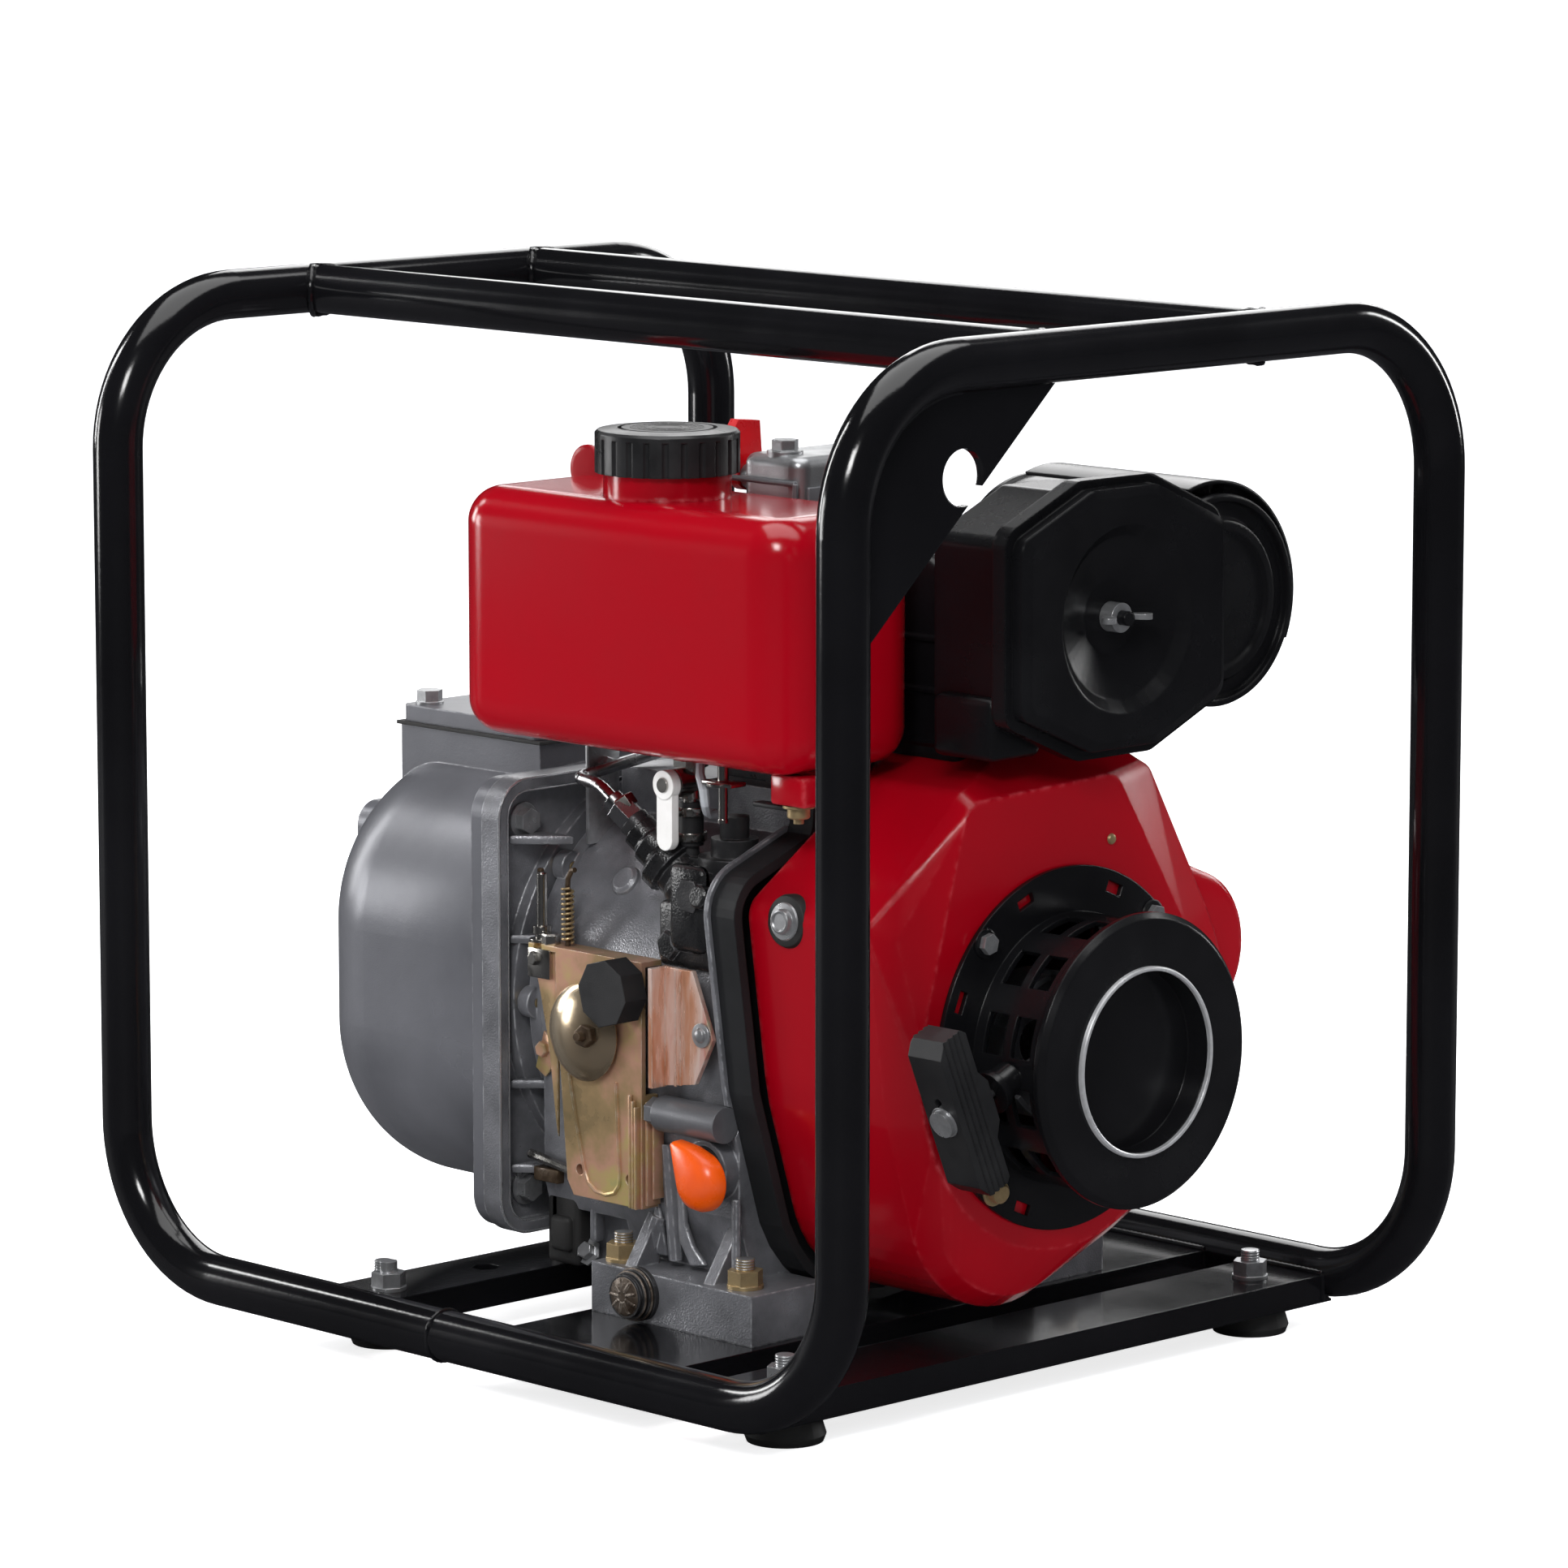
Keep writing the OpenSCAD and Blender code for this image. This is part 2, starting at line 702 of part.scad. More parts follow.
module rocker_cover() {
    wx = rocker_x1 - rocker_x0;
    wy = rocker_y1 - rocker_y0;
    mx = (rocker_x0 + rocker_x1) / 2;
    my = (rocker_y0 + rocker_y1) / 2;
    color("#9da0a3") union() {
        translate([mx, my, rocker_z]) linear_extrude(6) rounded_rect(wx, wy, 8);
        translate([mx, my, rocker_z]) linear_extrude(rocker_h) rounded_rect(wx - 4, wy - 4, 9);
        translate([mx, my, rocker_z + rocker_h]) rounded_cap(wx - 4, wy - 4, 9, 6);
        for (side = [-1, 1])
            translate([mx, my + side * (wy / 2 - 14), rocker_z + rocker_h]) {
                cylinder(r = 10, h = 8);
                translate([0, 0, 8]) hex_head(13, 6);
            }
        rod_x(rocker_x0 - 1, rocker_x0 + 8, release_y, release_z, 7);
        rod_x(rocker_x0 - 9, rocker_x0, release_y, release_z, 3);
        rod_x(rocker_x0 - 11, rocker_x0 - 8.5, release_y, release_z, 5);
    }
}

// Red tab that turns on a small pin at the end of the rocker cover.
module decompression_lever() {
    t = 6.6;
    color("#c81022") difference() {
        union() {
            rod_x(rocker_x0 - 8, rocker_x0 - 8 + t, release_y, release_z, 8);
            face_x(rocker_x0 - 8) linear_extrude(t) translate([release_y, release_z])
                polygon([[-7, 0], [7, 0], [7.5, 12], [10.5, 12], [9, 30], [-7, 31.5], [-11, 26],
                    [-11, 12], [-7.5, 12]]);
        }
        rod_x(rocker_x0 - 12, rocker_x0, release_y, release_z, 3 + run_clear);
    }
}

// ---- Blower --------------------------------------------------------------------------------

// One curved blade between two radii, standing on z = 0.
module blade(r0, r1, h, t, lean) {
    linear_extrude(h) intersection() {
        translate([r0 - 6, 0]) difference() {
            translate([0, lean]) circle(lean + t / 2);
            translate([0, lean]) circle(lean - t / 2);
        }
        square([200, 200]);
        difference() {
            circle(r1);
            circle(r0);
        }
    }
}

module flywheel_blower() {
    rim = flywheel_r - 34;
    color("#55585b") union() {
        about_crank() polygon([
            [12 + run_clear / 2, flywheel_x], [rim, flywheel_x], [rim + 4, flywheel_x + 4],
            [flywheel_r, flywheel_x + 4], [flywheel_r, flywheel_x + 8], [rim + 4, flywheel_x + 8],
            [rim + 4, flywheel_x + 40], [rim - 12, flywheel_x + 40], [rim - 12, flywheel_x + 12],
            [30, flywheel_x + 12], [24, flywheel_x + 44], [12 + run_clear / 2, flywheel_x + 44]
        ]);
        for (k = [0 : blade_count - 1])
            translate([flywheel_x + 6, 0, crank_z]) rotate([90, 0, 90])
                rotate(360 / blade_count * k) blade(rim + 1, flywheel_r - 1.5, 32, 3, 60);
    }
}

// Outline of the blower, seen along the crank: a scroll that narrows downwards on the tank side,
// a shoulder above it and a duct up to the cylinder. Grow is the distance outside the sheet.
module scroll_outline(grow) {
    hull() {
        translate([10, crank_z]) circle(scroll_r + grow);
        translate([-24, crank_z - scroll_drop + 72]) circle(72 + grow);
        translate([34, crank_z + 6]) circle(112 + grow);
        translate([-112, crank_z + 72]) circle(14 + grow);
    }
}

module backplate_body(x0, inset) {
    top = crank_z + 138 - inset;
    depth = back_x1 - x0 + (inset > 0 ? 1 : 0);
    union() {
        face_x(x0) linear_extrude(depth) scroll_outline(plate_rim - inset, $fn = 32);
        face_x(x0) linear_extrude(depth)
            polygon([[-98, crank_z + 60], [inset - 78, crank_z + 116 - inset], [inset - 76, top],
                [78 - inset, top], [116 - inset, crank_z + 60]]);
    }
}

// Dark dished plate between crankcase and blower, cut away where air passes to the fins.
module blower_backplate() {
    color("#2a2c2e") difference() {
        backplate_body(back_x0, 0);
        backplate_body(back_x0 + 3, 6);
        brick(back_x0 - 1, back_x1 + 1, -48, 58, crank_z + 112, crank_z + 140);
        rod_x(back_x0 - 1, back_x1, 0, crank_z, 40);
    }
}

// The outside of the scroll and its duct; inset gives the inside of the sheet. The front is set
// back in two steps, which makes the two chamfers round the raised face.
module shroud_form(inset) {
    x0 = back_x1 - (inset > 0 ? 1 : 0);
    low = crank_z - scroll_drop;
    r = 14 - inset;
    hull() {
        for (p = [[10, crank_z, scroll_r], [34, crank_z + 6, 112], [-24, low + 72, 72],
            [-112, crank_z + 72, 14]])
            rod_x(x0, shroud_x1 - 24, p[0], p[1], p[2] - inset);
        for (p = [[8, crank_z, scroll_r - 8], [34, crank_z + 6, 106], [-24, low + 72, 64],
            [-104, crank_z + 68, 12]])
            rod_x(x0 + 20, shroud_x1 - 12 - inset, p[0], p[1], p[2] - inset);
        rod_x(shroud_x1 - 20, shroud_x1 - inset, 0, crank_z, scroll_r - 15 - inset);
        for (p = [[-64, 317], [32, 321]])
            rod_x(shroud_x1 - 8, shroud_x1 - inset, p[0], p[1] - 190 + crank_z, r);
        for (p = [[-62, 322], [68, 323]])
            rod_x(x0 + 30, shroud_x1 - 12 - inset, p[0], p[1] - 190 + crank_z, r);
        for (p = [[-4, 336], [64, 336]])
            rod_x(x0, shroud_x1 - 42, p[0], p[1] - 190 + crank_z, r);
    }
    hull() {
        rod_x(x0 + 12, shroud_x1 - 26 - inset, 126, crank_z + 34, 44 - inset);
        rod_x(x0, shroud_x1 - 40 - inset, 104, crank_z - 10, 44 - inset);
        rod_x(x0, shroud_x1 - 22 - inset, 84, crank_z + 46, 48 - inset);
    }
}

opening_r = starter_cup_r + 8;

module blower_shroud() {
    color("#b00f20", $fn = 48) difference() {
        shroud_form(0);
        shroud_form(shroud_t);
        rod_x(shroud_x1 - 10, shroud_x1 + 1, 0, crank_z, opening_r);
        for (a = [45 : 90 : 315])
            translate([0, 0, crank_z]) rotate([a, 0, 0])
                rod_x(shroud_x1 - 10, shroud_x1 + 1, 0, starter_flange_r - 7, 3.3);
    }
}

module shroud_bolts() {
    color("#b9bcc0") {
        for (a = [45 : 90 : 315])
            translate([0, 0, crank_z]) rotate([a, 0, 0]) translate([0, 0, starter_flange_r - 7]) {
                rod_x(shroud_x1 - 12, shroud_x1 + 7, 0, 0, 3);
                translate([shroud_x1 + 3, 0, 0]) rotate([0, 90, 0]) hex_head(10, 5);
                translate([shroud_x1 - shroud_t - 6, 0, 0]) rotate([0, 90, 0]) hex_head(10, 6);
            }
    }
}

// ---- Recoil starter ------------------------------------------------------------------------

// Places its children with -Y along the rope and +Z away from the crank, at the drum's tangent.
module rope_line() {
    translate([guide_x, 0, crank_z]) rotate([rope_slope, 0, 0]) translate([0, 0, drum_r]) children();
}

module starter_housing() {
    t = 3;
    wall_in = starter_cup_r - t;
    face = starter_x1 - 5;
    floor_x = face - 17;
    color("#141416") difference() {
        union() {
            about_crank() polygon([
                [wall_in, starter_x0], [starter_flange_r, starter_x0],
                [starter_flange_r, starter_x0 + t], [starter_cup_r, starter_x0 + t],
                [starter_cup_r, face - 12], [starter_rim_r, face - 6],
                [starter_rim_r, face - 3], [starter_rim_r - 3, face],
                [starter_ring_r, face], [starter_ring_r, face - t], [wall_in, face - t]
            ]);
            about_crank() translate([starter_ring_r - t, floor_x]) square([t, face - floor_x]);
            rod_x(floor_x, floor_x + t, 0, crank_z, starter_ring_r - t);
            rod_x(starter_x0 + 8, floor_x, 0, crank_z, pulley_post_r);
            rope_line() {
                rod_y(0, -guide_out, -starter_cup_r + 6, 0, 10);
                rod_y(0, -guide_out, -guide_out + 4, 0, 12);
            }
        }
        for (a = [15 : 30 : 165])
            translate([0, 0, crank_z]) rotate([a, 0, 0])
                for (x = [starter_x0 + 10, starter_x0 + 30])
                    translate([x, -11, wall_in - 2]) cube([14, 22, t + 6]);
        for (a = [-75 : 30 : -15])
            translate([0, 0, crank_z]) rotate([a - 10, 0, 0])
                translate([starter_x0 + 30, -9, wall_in - 2]) cube([14, 18, t + 6]);
        for (a = [45 : 90 : 315])
            translate([0, 0, crank_z]) rotate([a, 0, 0])
                rod_x(starter_x0 - 1, starter_x0 + t + 1, 0, starter_flange_r - 7, 3.3);
        for (a = [22 : 45 : 337])
            translate([0, 0, crank_z]) rotate([a, 0, 0])
                translate([starter_x0 - 1, -6, starter_flange_r - 12]) cube([t + 2, 12, 6]);
        rope_line() rod_y(0, -guide_out - 1, -starter_cup_r + 20, 0, rope_d / 2 + 1);
    }
}

module starter_ring() {
    face = starter_x1 - 5;
    color("#b4b7bb") about_crank() polygon([
        [starter_ring_r - 6, face - 12], [starter_ring_r - 3.1, face - 12],
        [starter_ring_r - 3.1, face], [starter_ring_r + 3, face],
        [starter_ring_r + 3, face + 2.5], [starter_ring_r, face + 5],
        [starter_ring_r - 4, face + 4], [starter_ring_r - 6, face + 1]
    ]);
}

// Rope drum on the post inside the housing, with the coil spring's pocket behind it.
module starter_pulley() {
    bore = pulley_post_r + run_clear;
    x0 = guide_x - 7;
    x1 = guide_x + 7;
    color("#2b2e33") difference() {
        about_crank() polygon([
            [bore, x0], [drum_r + 20, x0], [drum_r + 20, x0 + 2.5], [drum_r - 2.5, guide_x - 3.5],
            [drum_r - 2.5, guide_x + 3.5], [drum_r + 20, x1 - 2.5], [drum_r + 20, x1], [bore, x1]
        ]);
        for (k = [0 : 2])
            translate([0, 0, crank_z]) rotate([120 * k, 0, 0]) rod_x(x0 - 1, x1 + 1, 0, 16, 4);
    }
}

// Steel cup on the crankshaft with notches that the starter's pawls catch.
module starter_cup() {
    x0 = starter_x0 - 31;
    color("#6b6e71") difference() {
        about_crank() polygon([
            [12 + run_clear / 2, x0], [40, x0], [40, x0 + 26], [37, x0 + 26], [37, x0 + 4],
            [20, x0 + 4], [20, x0 + 9], [12 + run_clear / 2, x0 + 9]
        ]);
        for (k = [0 : 5])
            translate([0, 0, crank_z]) rotate([60 * k, 0, 0])
                translate([x0 + 14, -6, 34]) cube([13, 12, 8]);
    }
}

grip_y = guide_y - 9;

// Rope from the drum's tangent to the guide, then straight out to the grip.
module starter_rope() {
    color("#2a2a2c") union() {
        rope_line() rod_y(0, -guide_out, -8, 0, rope_d / 2);
        translate([guide_x, guide_y, guide_z]) sphere(rope_d / 2 + 0.1);
        rod_y(guide_x, grip_y, guide_y, guide_z, rope_d / 2);
    }
}

// T grip with grooves along its sides, square to the rope.
module starter_grip() {
    w = 24;
    d = 22;
    color("#161618") difference() {
        translate([guide_x, grip_y, guide_z]) rotate([rope_slope, 0, 0])
            difference() {
                translate([-w / 2, 0, 0]) rotate([90, 0, 90]) linear_extrude(w) polygon([
                    [-1, -12], [-1, 12], [-6, 20], [-6, grip_l / 2 - 3], [-9, grip_l / 2],
                    [-d, grip_l / 2], [-d - 6, grip_l / 2 - 8], [-d - 6, 8 - grip_l / 2],
                    [-d, -grip_l / 2], [-9, -grip_l / 2], [-6, 3 - grip_l / 2], [-6, -20]
                ]);
                for (side = [-1, 1], k = [0 : 3])
                    translate([side * w / 2, -10 - 4 * k, 0]) rotate([0, 0, 45])
                        cube([1.8, 1.8, grip_l + 2], center = true);
            }
        rod_y(guide_x, grip_y - 40, grip_y + 3, guide_z, rope_d / 2);
        translate([guide_x, grip_y, guide_z]) rotate([rope_slope, 0, 0])
            rod_y(0, -d - 10, -d - 1, 0, 9);
    }
}

// Bright plug that closes the knot's pocket in the grip.
module grip_plug() {
    color("#d2d4d6") translate([guide_x, grip_y, guide_z]) rotate([rope_slope, 0, 0]) {
        rod_y(0, -28, -23.2, 0, 8.8);
        rod_y(0, -31, -28, 0, 7.5);
    }
}

// ---- Fuel system ---------------------------------------------------------------------------

tank_mx = (tank_x0 + tank_x1) / 2;
tank_my = (tank_y0 + tank_y1) / 2;

module fuel_tank() {
    color("#b00f20") difference() {
        union() {
            translate([tank_mx, tank_my, tank_bottom])
                rounded_block(tank_l, tank_w, tank_h, tank_corner, tank_edge);
            rod_z(neck_x, neck_y, tank_top - 3, neck_top, neck_d / 2);
            rod_z(tap_x, neck_y, tank_bottom - 6, tank_bottom + 3, 9);
        }
        translate([tank_mx, tank_my, tank_bottom + tank_t])
            rounded_block(tank_l - 2 * tank_t, tank_w - 2 * tank_t, tank_h - 2 * tank_t,
                tank_corner - tank_t, tank_edge - tank_t);
        rod_z(neck_x, neck_y, tank_top - tank_t - 1, neck_top + 1, neck_d / 2 - 5);
        rod_z(tap_x, neck_y, tank_bottom - 7, tank_bottom + tank_t + 1, 4);
    }
}

// Sheet brackets that carry the tank on the crankcase and on the blower's backplate.
module tank_brackets() {
    t = 3;
    color("#b9bcc0") difference() {
        union() {
            brick(case_x0 + 2, case_x0 + 2 + t, -86, -62, crank_z + 80, tank_bottom - t);
            brick(case_x0 - 28, case_x0 + 2 + t, -86, -62, tank_bottom - t, tank_bottom);
        }
        case_seat();
    }
    color("#b00f20") {
        brick(back_x0 + 2, back_x0 + 30, -76, -56, tank_bottom - t, tank_bottom);
        brick(back_x0 + 2, back_x0 + 2 + t, -76, -56, crank_z + 138, tank_bottom - t);
    }
}

module fuel_cap() {
    low = neck_top + gasket_t;
    color("#1a1b1d") translate([neck_x, neck_y, low]) difference() {
        union() {
            rotate_extrude() polygon([
                [0, 0], [cap_d / 2, 0], [cap_d / 2, 15.5], [cap_d / 2 - 1.5, 17],
                [cap_d / 2 - 10, 18], [0, 18]
            ]);
            translate([0, 0, -6]) difference() {
                cylinder(r = cap_d / 2, h = 6.1);
                translate([0, 0, -1]) cylinder(r = neck_d / 2 + free_clear, h = 8);
            }
            translate([0, 0, -14]) difference() {
                cylinder(r = neck_d / 2 - 6, h = 14.1);
                translate([0, 0, -1]) cylinder(r = neck_d / 2 - 9, h = 16);
            }
        }
        for (k = [0 : 23])
            rotate(15 * k) translate([cap_d / 2 + 0.8, 0, -7]) cylinder(r = 2, h = 20);
        translate([0, 0, 16]) difference() {
            cylinder(r = 27, h = 3);
            translate([0, 0, -1]) cylinder(r = 25, h = 5);
        }
    }
}

module cap_gasket() {
    color("#0d0d0e") difference() {
        rod_z(neck_x, neck_y, neck_top, neck_top + gasket_t, neck_d / 2);
        rod_z(neck_x, neck_y, neck_top - 1, neck_top + 3, neck_d / 2 - 6 + free_clear);
    }
}

tap_x = 40;
tap_z = tank_bottom - 18;

module fuel_tap() {
    color("#c8a23c") difference() {
        union() {
            translate([tap_x, neck_y, tank_bottom - 10]) hex_head(17, 4);
            rod_z(tap_x, neck_y, tap_z - 9, tank_bottom - 8, 7);
            rod_y(tap_x, neck_y - 14, neck_y + 4, tap_z, 8);
            rod_y(tap_x, neck_y - 22, neck_y - 13, tap_z, 4);
            rod_z(tap_x, neck_y, tap_z - 16, tap_z - 8, 4.5);
        }
        rod_z(tap_x, neck_y, tap_z + 6, tank_bottom, 2.5);
        rod_z(tap_x, neck_y, tap_z - 7, tap_z + 7, 1.75);
        rod_z(tap_x, neck_y, tap_z - 17, tap_z - 6, 2.5);
    }
}

module tap_lever() {
    y = neck_y - 15;
    color("#e9e7df") difference() {
        union() {
            rod_y(tap_x, y - 6, y, tap_z, 8);
            face_y(y) linear_extrude(5) union() {
                translate([tap_x - 6, tap_z - 30]) square([12, 30]);
                translate([tap_x, tap_z - 30]) circle(6);
            }
        }
        rod_y(tap_x, y - 8, y + 1, tap_z, 4 + run_clear);
    }
}

pump_cx = 66;
pump_cy = 26 - case_r;
pump_low = crank_z + 70;
pump_top = crank_z + 118;

// Short rubber hose between the tap's spigot and the injection pump's, with its two clips.
module fuel_hose() {
    low = pump_low + 30;
    high = tap_z - 11;
    color("#0f0f10") difference() {
        union() {
            rod_z(tap_x, neck_y, low, high, 7);
            for (z = [low + 3, high - 7]) rod_z(tap_x, neck_y, z, z + 4, 8);
        }
        rod_z(tap_x, neck_y, low - 1, high + 1, 4.52);
    }
}

outlet_l = 50;
outlet_base = [pump_cx - 26, pump_cy - 6, pump_low + 8];
outlet_lean = -50;
outlet_end = [outlet_base[0] + (outlet_l + 12) * sin(outlet_lean), outlet_base[1] - 12,
    outlet_base[2] + (outlet_l + 12) * cos(outlet_lean)];

// The slanting axis of the pump's outlet, with +Z along it.
module outlet_line() {
    translate(outlet_base) rotate([11, outlet_lean, 0]) children();
}

module injection_pump() {
    color("#2b2d30") difference() {
        union() {
            rod_z(pump_cx, pump_cy, pump_low - 4, pump_low + 26, 20);
            rod_z(pump_cx, pump_cy, pump_low + 24, pump_low + 36, 13);
            rod_z(pump_cx, pump_cy, pump_low + 34, pump_top, 8);
            outlet_line() {
                cylinder(r = 12, h = 24);
                cylinder(r = 9, h = outlet_l);
                translate([0, 0, 24]) cylinder(r = 11, h = 5);
            }
            brick(pump_cx - 30, pump_cx + 24, pump_cy - 16, pump_cy + 16, pump_low - 6, pump_low + 6);
            rod_y(pump_cx, pump_cy - 30, pump_cy, pump_low + 8, 11);
            translate([pump_cx, pump_cy - 30, pump_low + 8]) rotate([90, 0, 0]) hex_head(17, 6);
            rod_z(tap_x, neck_y, pump_low + 22, pump_low + 38, 4.5);
            brick(tap_x - 5, pump_cx, neck_y - 5, neck_y + 5, pump_low + 14, pump_low + 24);
        }
        case_seat();
    }
}

// Steel pipe from the pump's slanting outlet, behind the tank and up to the injector in the head.
module injector_pipe() {
    run_x = -52;
    high = head_z + 24;
    back_y = -24;
    injector_x = -14;
    level = outlet_end[2] + 9;
    route = [outlet_end, [outlet_end[0] - 18, outlet_end[1] + 3, level], [run_x, neck_y, level],
        [run_x, back_y, deck_z + 8], [run_x, back_y, high], [injector_x - 6, back_y, high]];
    color("#9a9da0") union() {
        outlet_line() translate([0, 0, outlet_l + 0.02]) hex_head(15, 12);
        outlet_line() translate([0, 0, outlet_l + 10]) cylinder(r = 6, h = 8);
        round_run(bent(route, 9), 3.5);
        translate([injector_x - 15, back_y, high]) rotate([0, 90, 0]) hex_head(13, 8.9);
    }
    color("#77797c") union() {
        rod_x(injector_x, cyl_x - 20.5, back_y, high, 7);
        translate([injector_x - 6, back_y, high]) rotate([0, 90, 0]) hex_head(17, 6.1);
    }
}

// ---- Controls ------------------------------------------------------------------------------

// Zinc-plated sheet with a folded top edge and a slot for the lever's stop.
module control_plate() {
    x0 = lever_x - 25;
    x1 = lever_x + 44;
    low = lever_z - 95;
    high = lever_z + 42;
    color("#c9b083") difference() {
        union() {
            face_y(-plate_y) linear_extrude(control_t) polygon([
                [x0, high], [x0, lever_z + 14], [x0 + 9, low + 8], [x0 + 14, low],
                [x1, low], [x1, lever_z - 32], [x1, high]
            ]);
            brick(x0 - 22, x1, -plate_y - control_t, 12 - plate_y, high - control_t, high);
            brick(x1 - control_t, x1, -plate_y, 9 - plate_y, low, lever_z - 32);
            for (x = [lever_x - 6, lever_x + 34])
                rod_y(x, -plate_y, -case_r + 2, lever_z - 80, 6);
        }
        for (k = [0 : 10 : 50])
            translate([lever_x, 0, lever_z]) rotate([0, 205 + k, 0])
                rod_y(56, -plate_y - 10, -plate_y + 1, 0, 3.5);
        rod_y(lever_x, -plate_y - 10, -plate_y + 5, lever_z, 5);
        for (x = [lever_x - 6, lever_x + 34])
            rod_y(x, -plate_y - 10, -case_r + 3, lever_z - 80, 3);
    }
}

// Lever on a friction washer; its arm carries the black knob.
module speed_lever() {
    y = -plate_y - control_t - 0.3;
    color("#d5c7a4") union() {
        rod_y(lever_x, y - 4, y, lever_z, 17);
        translate([lever_x, y - 4, lever_z]) rotate([90, 0, 0]) rotate_extrude() intersection() {
            translate([0, -30]) circle(35, $fn = 96);
            square([17, 6]);
        }
        rod_y(lever_x, y, -plate_y + 4, lever_z, 5 - run_clear);
        translate([lever_x, 0, lever_z]) rotate([0, -knob_angle, 0])
            brick(6, lever_reach, y - 3, y, -7, 7);
    }
}

// Eight-sided black knob on the end of the speed lever.
module lever_knob() {
    color("#151517") translate([lever_x, 0, lever_z]) rotate([0, -knob_angle, 0])
        translate([lever_reach, -plate_y - control_t - 3.3, 0]) rotate([90, 0, 0])
            linear_extrude(16) circle(19, $fn = 8);
}

// Second zinc-plated sheet, folded, that holds the stop screws beside the lever.
module stop_plate() {
    x0 = lever_x + 62;
    color("#c9a07c") difference() {
        union() {
            face_y(-plate_y - 2) linear_extrude(control_t) polygon([
                [x0, crank_z - 28], [x0 + 26, crank_z - 24], [x0 + 40, crank_z + 2],
                [x0 + 24, crank_z + 38], [x0, crank_z + 38]
            ]);
            brick(x0, x0 + control_t, -plate_y - control_t - 12, -plate_y - 4,
                crank_z - 28, crank_z + 38);
            for (z = [crank_z - 14, crank_z + 20])
                rod_y(x0 + 12, -plate_y - 3, -case_r + 8, z, 5);
        }
        case_seat();
        brick(x0, x0 + 30, 2 - case_r, 20 - case_r, base_z, crank_z);
        rod_y(x0 + 33, -plate_y - 20, -plate_y + 2, crank_z + 4, 3);
    }
}

// Round housing of the oil screen along the crankcase, with its hexagon end.
module oil_screen_housing() {
    y = -case_r - 8.2;
    z = filler_z + 27 + free_clear;
    color("#4a4c50") union() {
        rod_x(lever_x + 58, back_x0, y, z, 10);
        translate([lever_x + 50, y, z]) rotate([0, 90, 0]) hex_head(14, 8.1);
    }
}

module dipstick_seal() {
    color("#0d0d0e") difference() {
        rod_y(filler_x, -filler_face - 2, -filler_face, filler_z, 14);
        rod_y(filler_x, -filler_face - 3, -filler_face + 1, filler_z, 8.5);
    }
}

// Orange filler cap with its grip and the measuring stick on one piece.
module dipstick_cap() {
    y = -filler_face - 2;
    color("#e8621c") union() {
        rod_y(filler_x, y - 5, y, filler_z, 16);
        rod_y(filler_x, y - 8, y - 4.9, filler_z, 13);
        difference() {
            face_y(y - 7.9) linear_extrude(11) union() {
                translate([filler_x, filler_z]) circle(10);
                polygon([[filler_x + 4, filler_z - 9], [filler_x + 8, filler_z + 6],
                    [filler_x - 12, filler_z + 12], [filler_x - 15, filler_z + 8]]);
            }
            rod_y(filler_x, y - 20, y - 15, filler_z, 6);
        }
        rod_y(filler_x, y - 0.1, -filler_face + 12, filler_z, 8);
        rod_y(filler_x, y, -68, filler_z, 3);
    }
}

// Drain plug in the foot's face: ribbed round head on a flange.
module drain_plug() {
    y = -foot_face;
    color("#2a2a2c") union() {
        rod_y(drain_x, y, y + 14, drain_z, 8);
        rod_y(drain_x, y - 3, y, drain_z, 15);
        for (k = [0 : 2]) rod_y(drain_x, y - 6 - 3 * k, y - 4.4 - 3 * k, drain_z, 14 - k);
        rod_y(drain_x, y - 12, y - 2, drain_z, 11);
    }
}

// ---- Air filter ----------------------------------------------------------------------------

// Octagon-like outline of the filter, drawn round its middle.
module filter_outline(inset, narrow = 0) {
    r = 12 - inset / 2;
    w = filter_w / 2 - inset - narrow - r;
    h = filter_h / 2 - inset - r;
    hull() for (sx = [-1, 1], sy = [-1, 1]) {
        translate([sx * w, sy * (h - filter_cut_h)]) circle(r, $fn = 32);
        translate([sx * (w - filter_cut_w), sy * h]) circle(r, $fn = 32);
    }
}

module filter_housing() {
    inner = 11;
    color("#151618") difference() {
        union() {
            face_x(filter_back) linear_extrude(filter_split - filter_back)
                translate([filter_y, filter_mid]) filter_outline(8, box_narrow);
            rod_x(cyl_x + 62, filter_back + 1, intake_y, intake_z, 21);
            rod_x(cyl_x + 62, cyl_x + 67, intake_y, intake_z, 26);
            rod_x(filter_back, post_end, filter_y, filter_mid, 6);
            rod_x(post_end - 1, filter_face + 1, filter_y, filter_mid, thread_r);
        }
        difference() {
            face_x(filter_back + 3) linear_extrude(filter_split - filter_back)
                translate([filter_y, filter_mid]) filter_outline(inner, box_narrow);
            rod_x(filter_back, post_end, filter_y, filter_mid, 6);
            rod_x(post_end - 2, filter_face + 2, filter_y, filter_mid, thread_r);
        }
        rod_x(cyl_x + 61, filter_back + 4, intake_y, intake_z, 16);
        for (k = [0 : 5])
            brick(filter_back + 12, filter_split - 12, filter_y - 32 + 12 * k,
                filter_y - 26 + 12 * k, filter_mid - filter_h / 2, filter_mid - filter_h / 2 + 20);
    }
}

module filter_element() {
    color("#c9a227") difference() {
        about_filter() difference() {
            translate([36, filter_back + 3.3]) square([16, filter_split - filter_back - 7]);
        }
        for (k = [0 : 35])
            translate([0, filter_y, filter_mid]) rotate([10 * k, 0, 0])
                translate([filter_back + 8, -1, 49]) cube([filter_split - filter_back - 16, 2, 6]);
    }
}

module about_filter() {
    translate([0, filter_y, filter_mid]) rotate([90, 0, 90]) rotate_extrude() children();
}

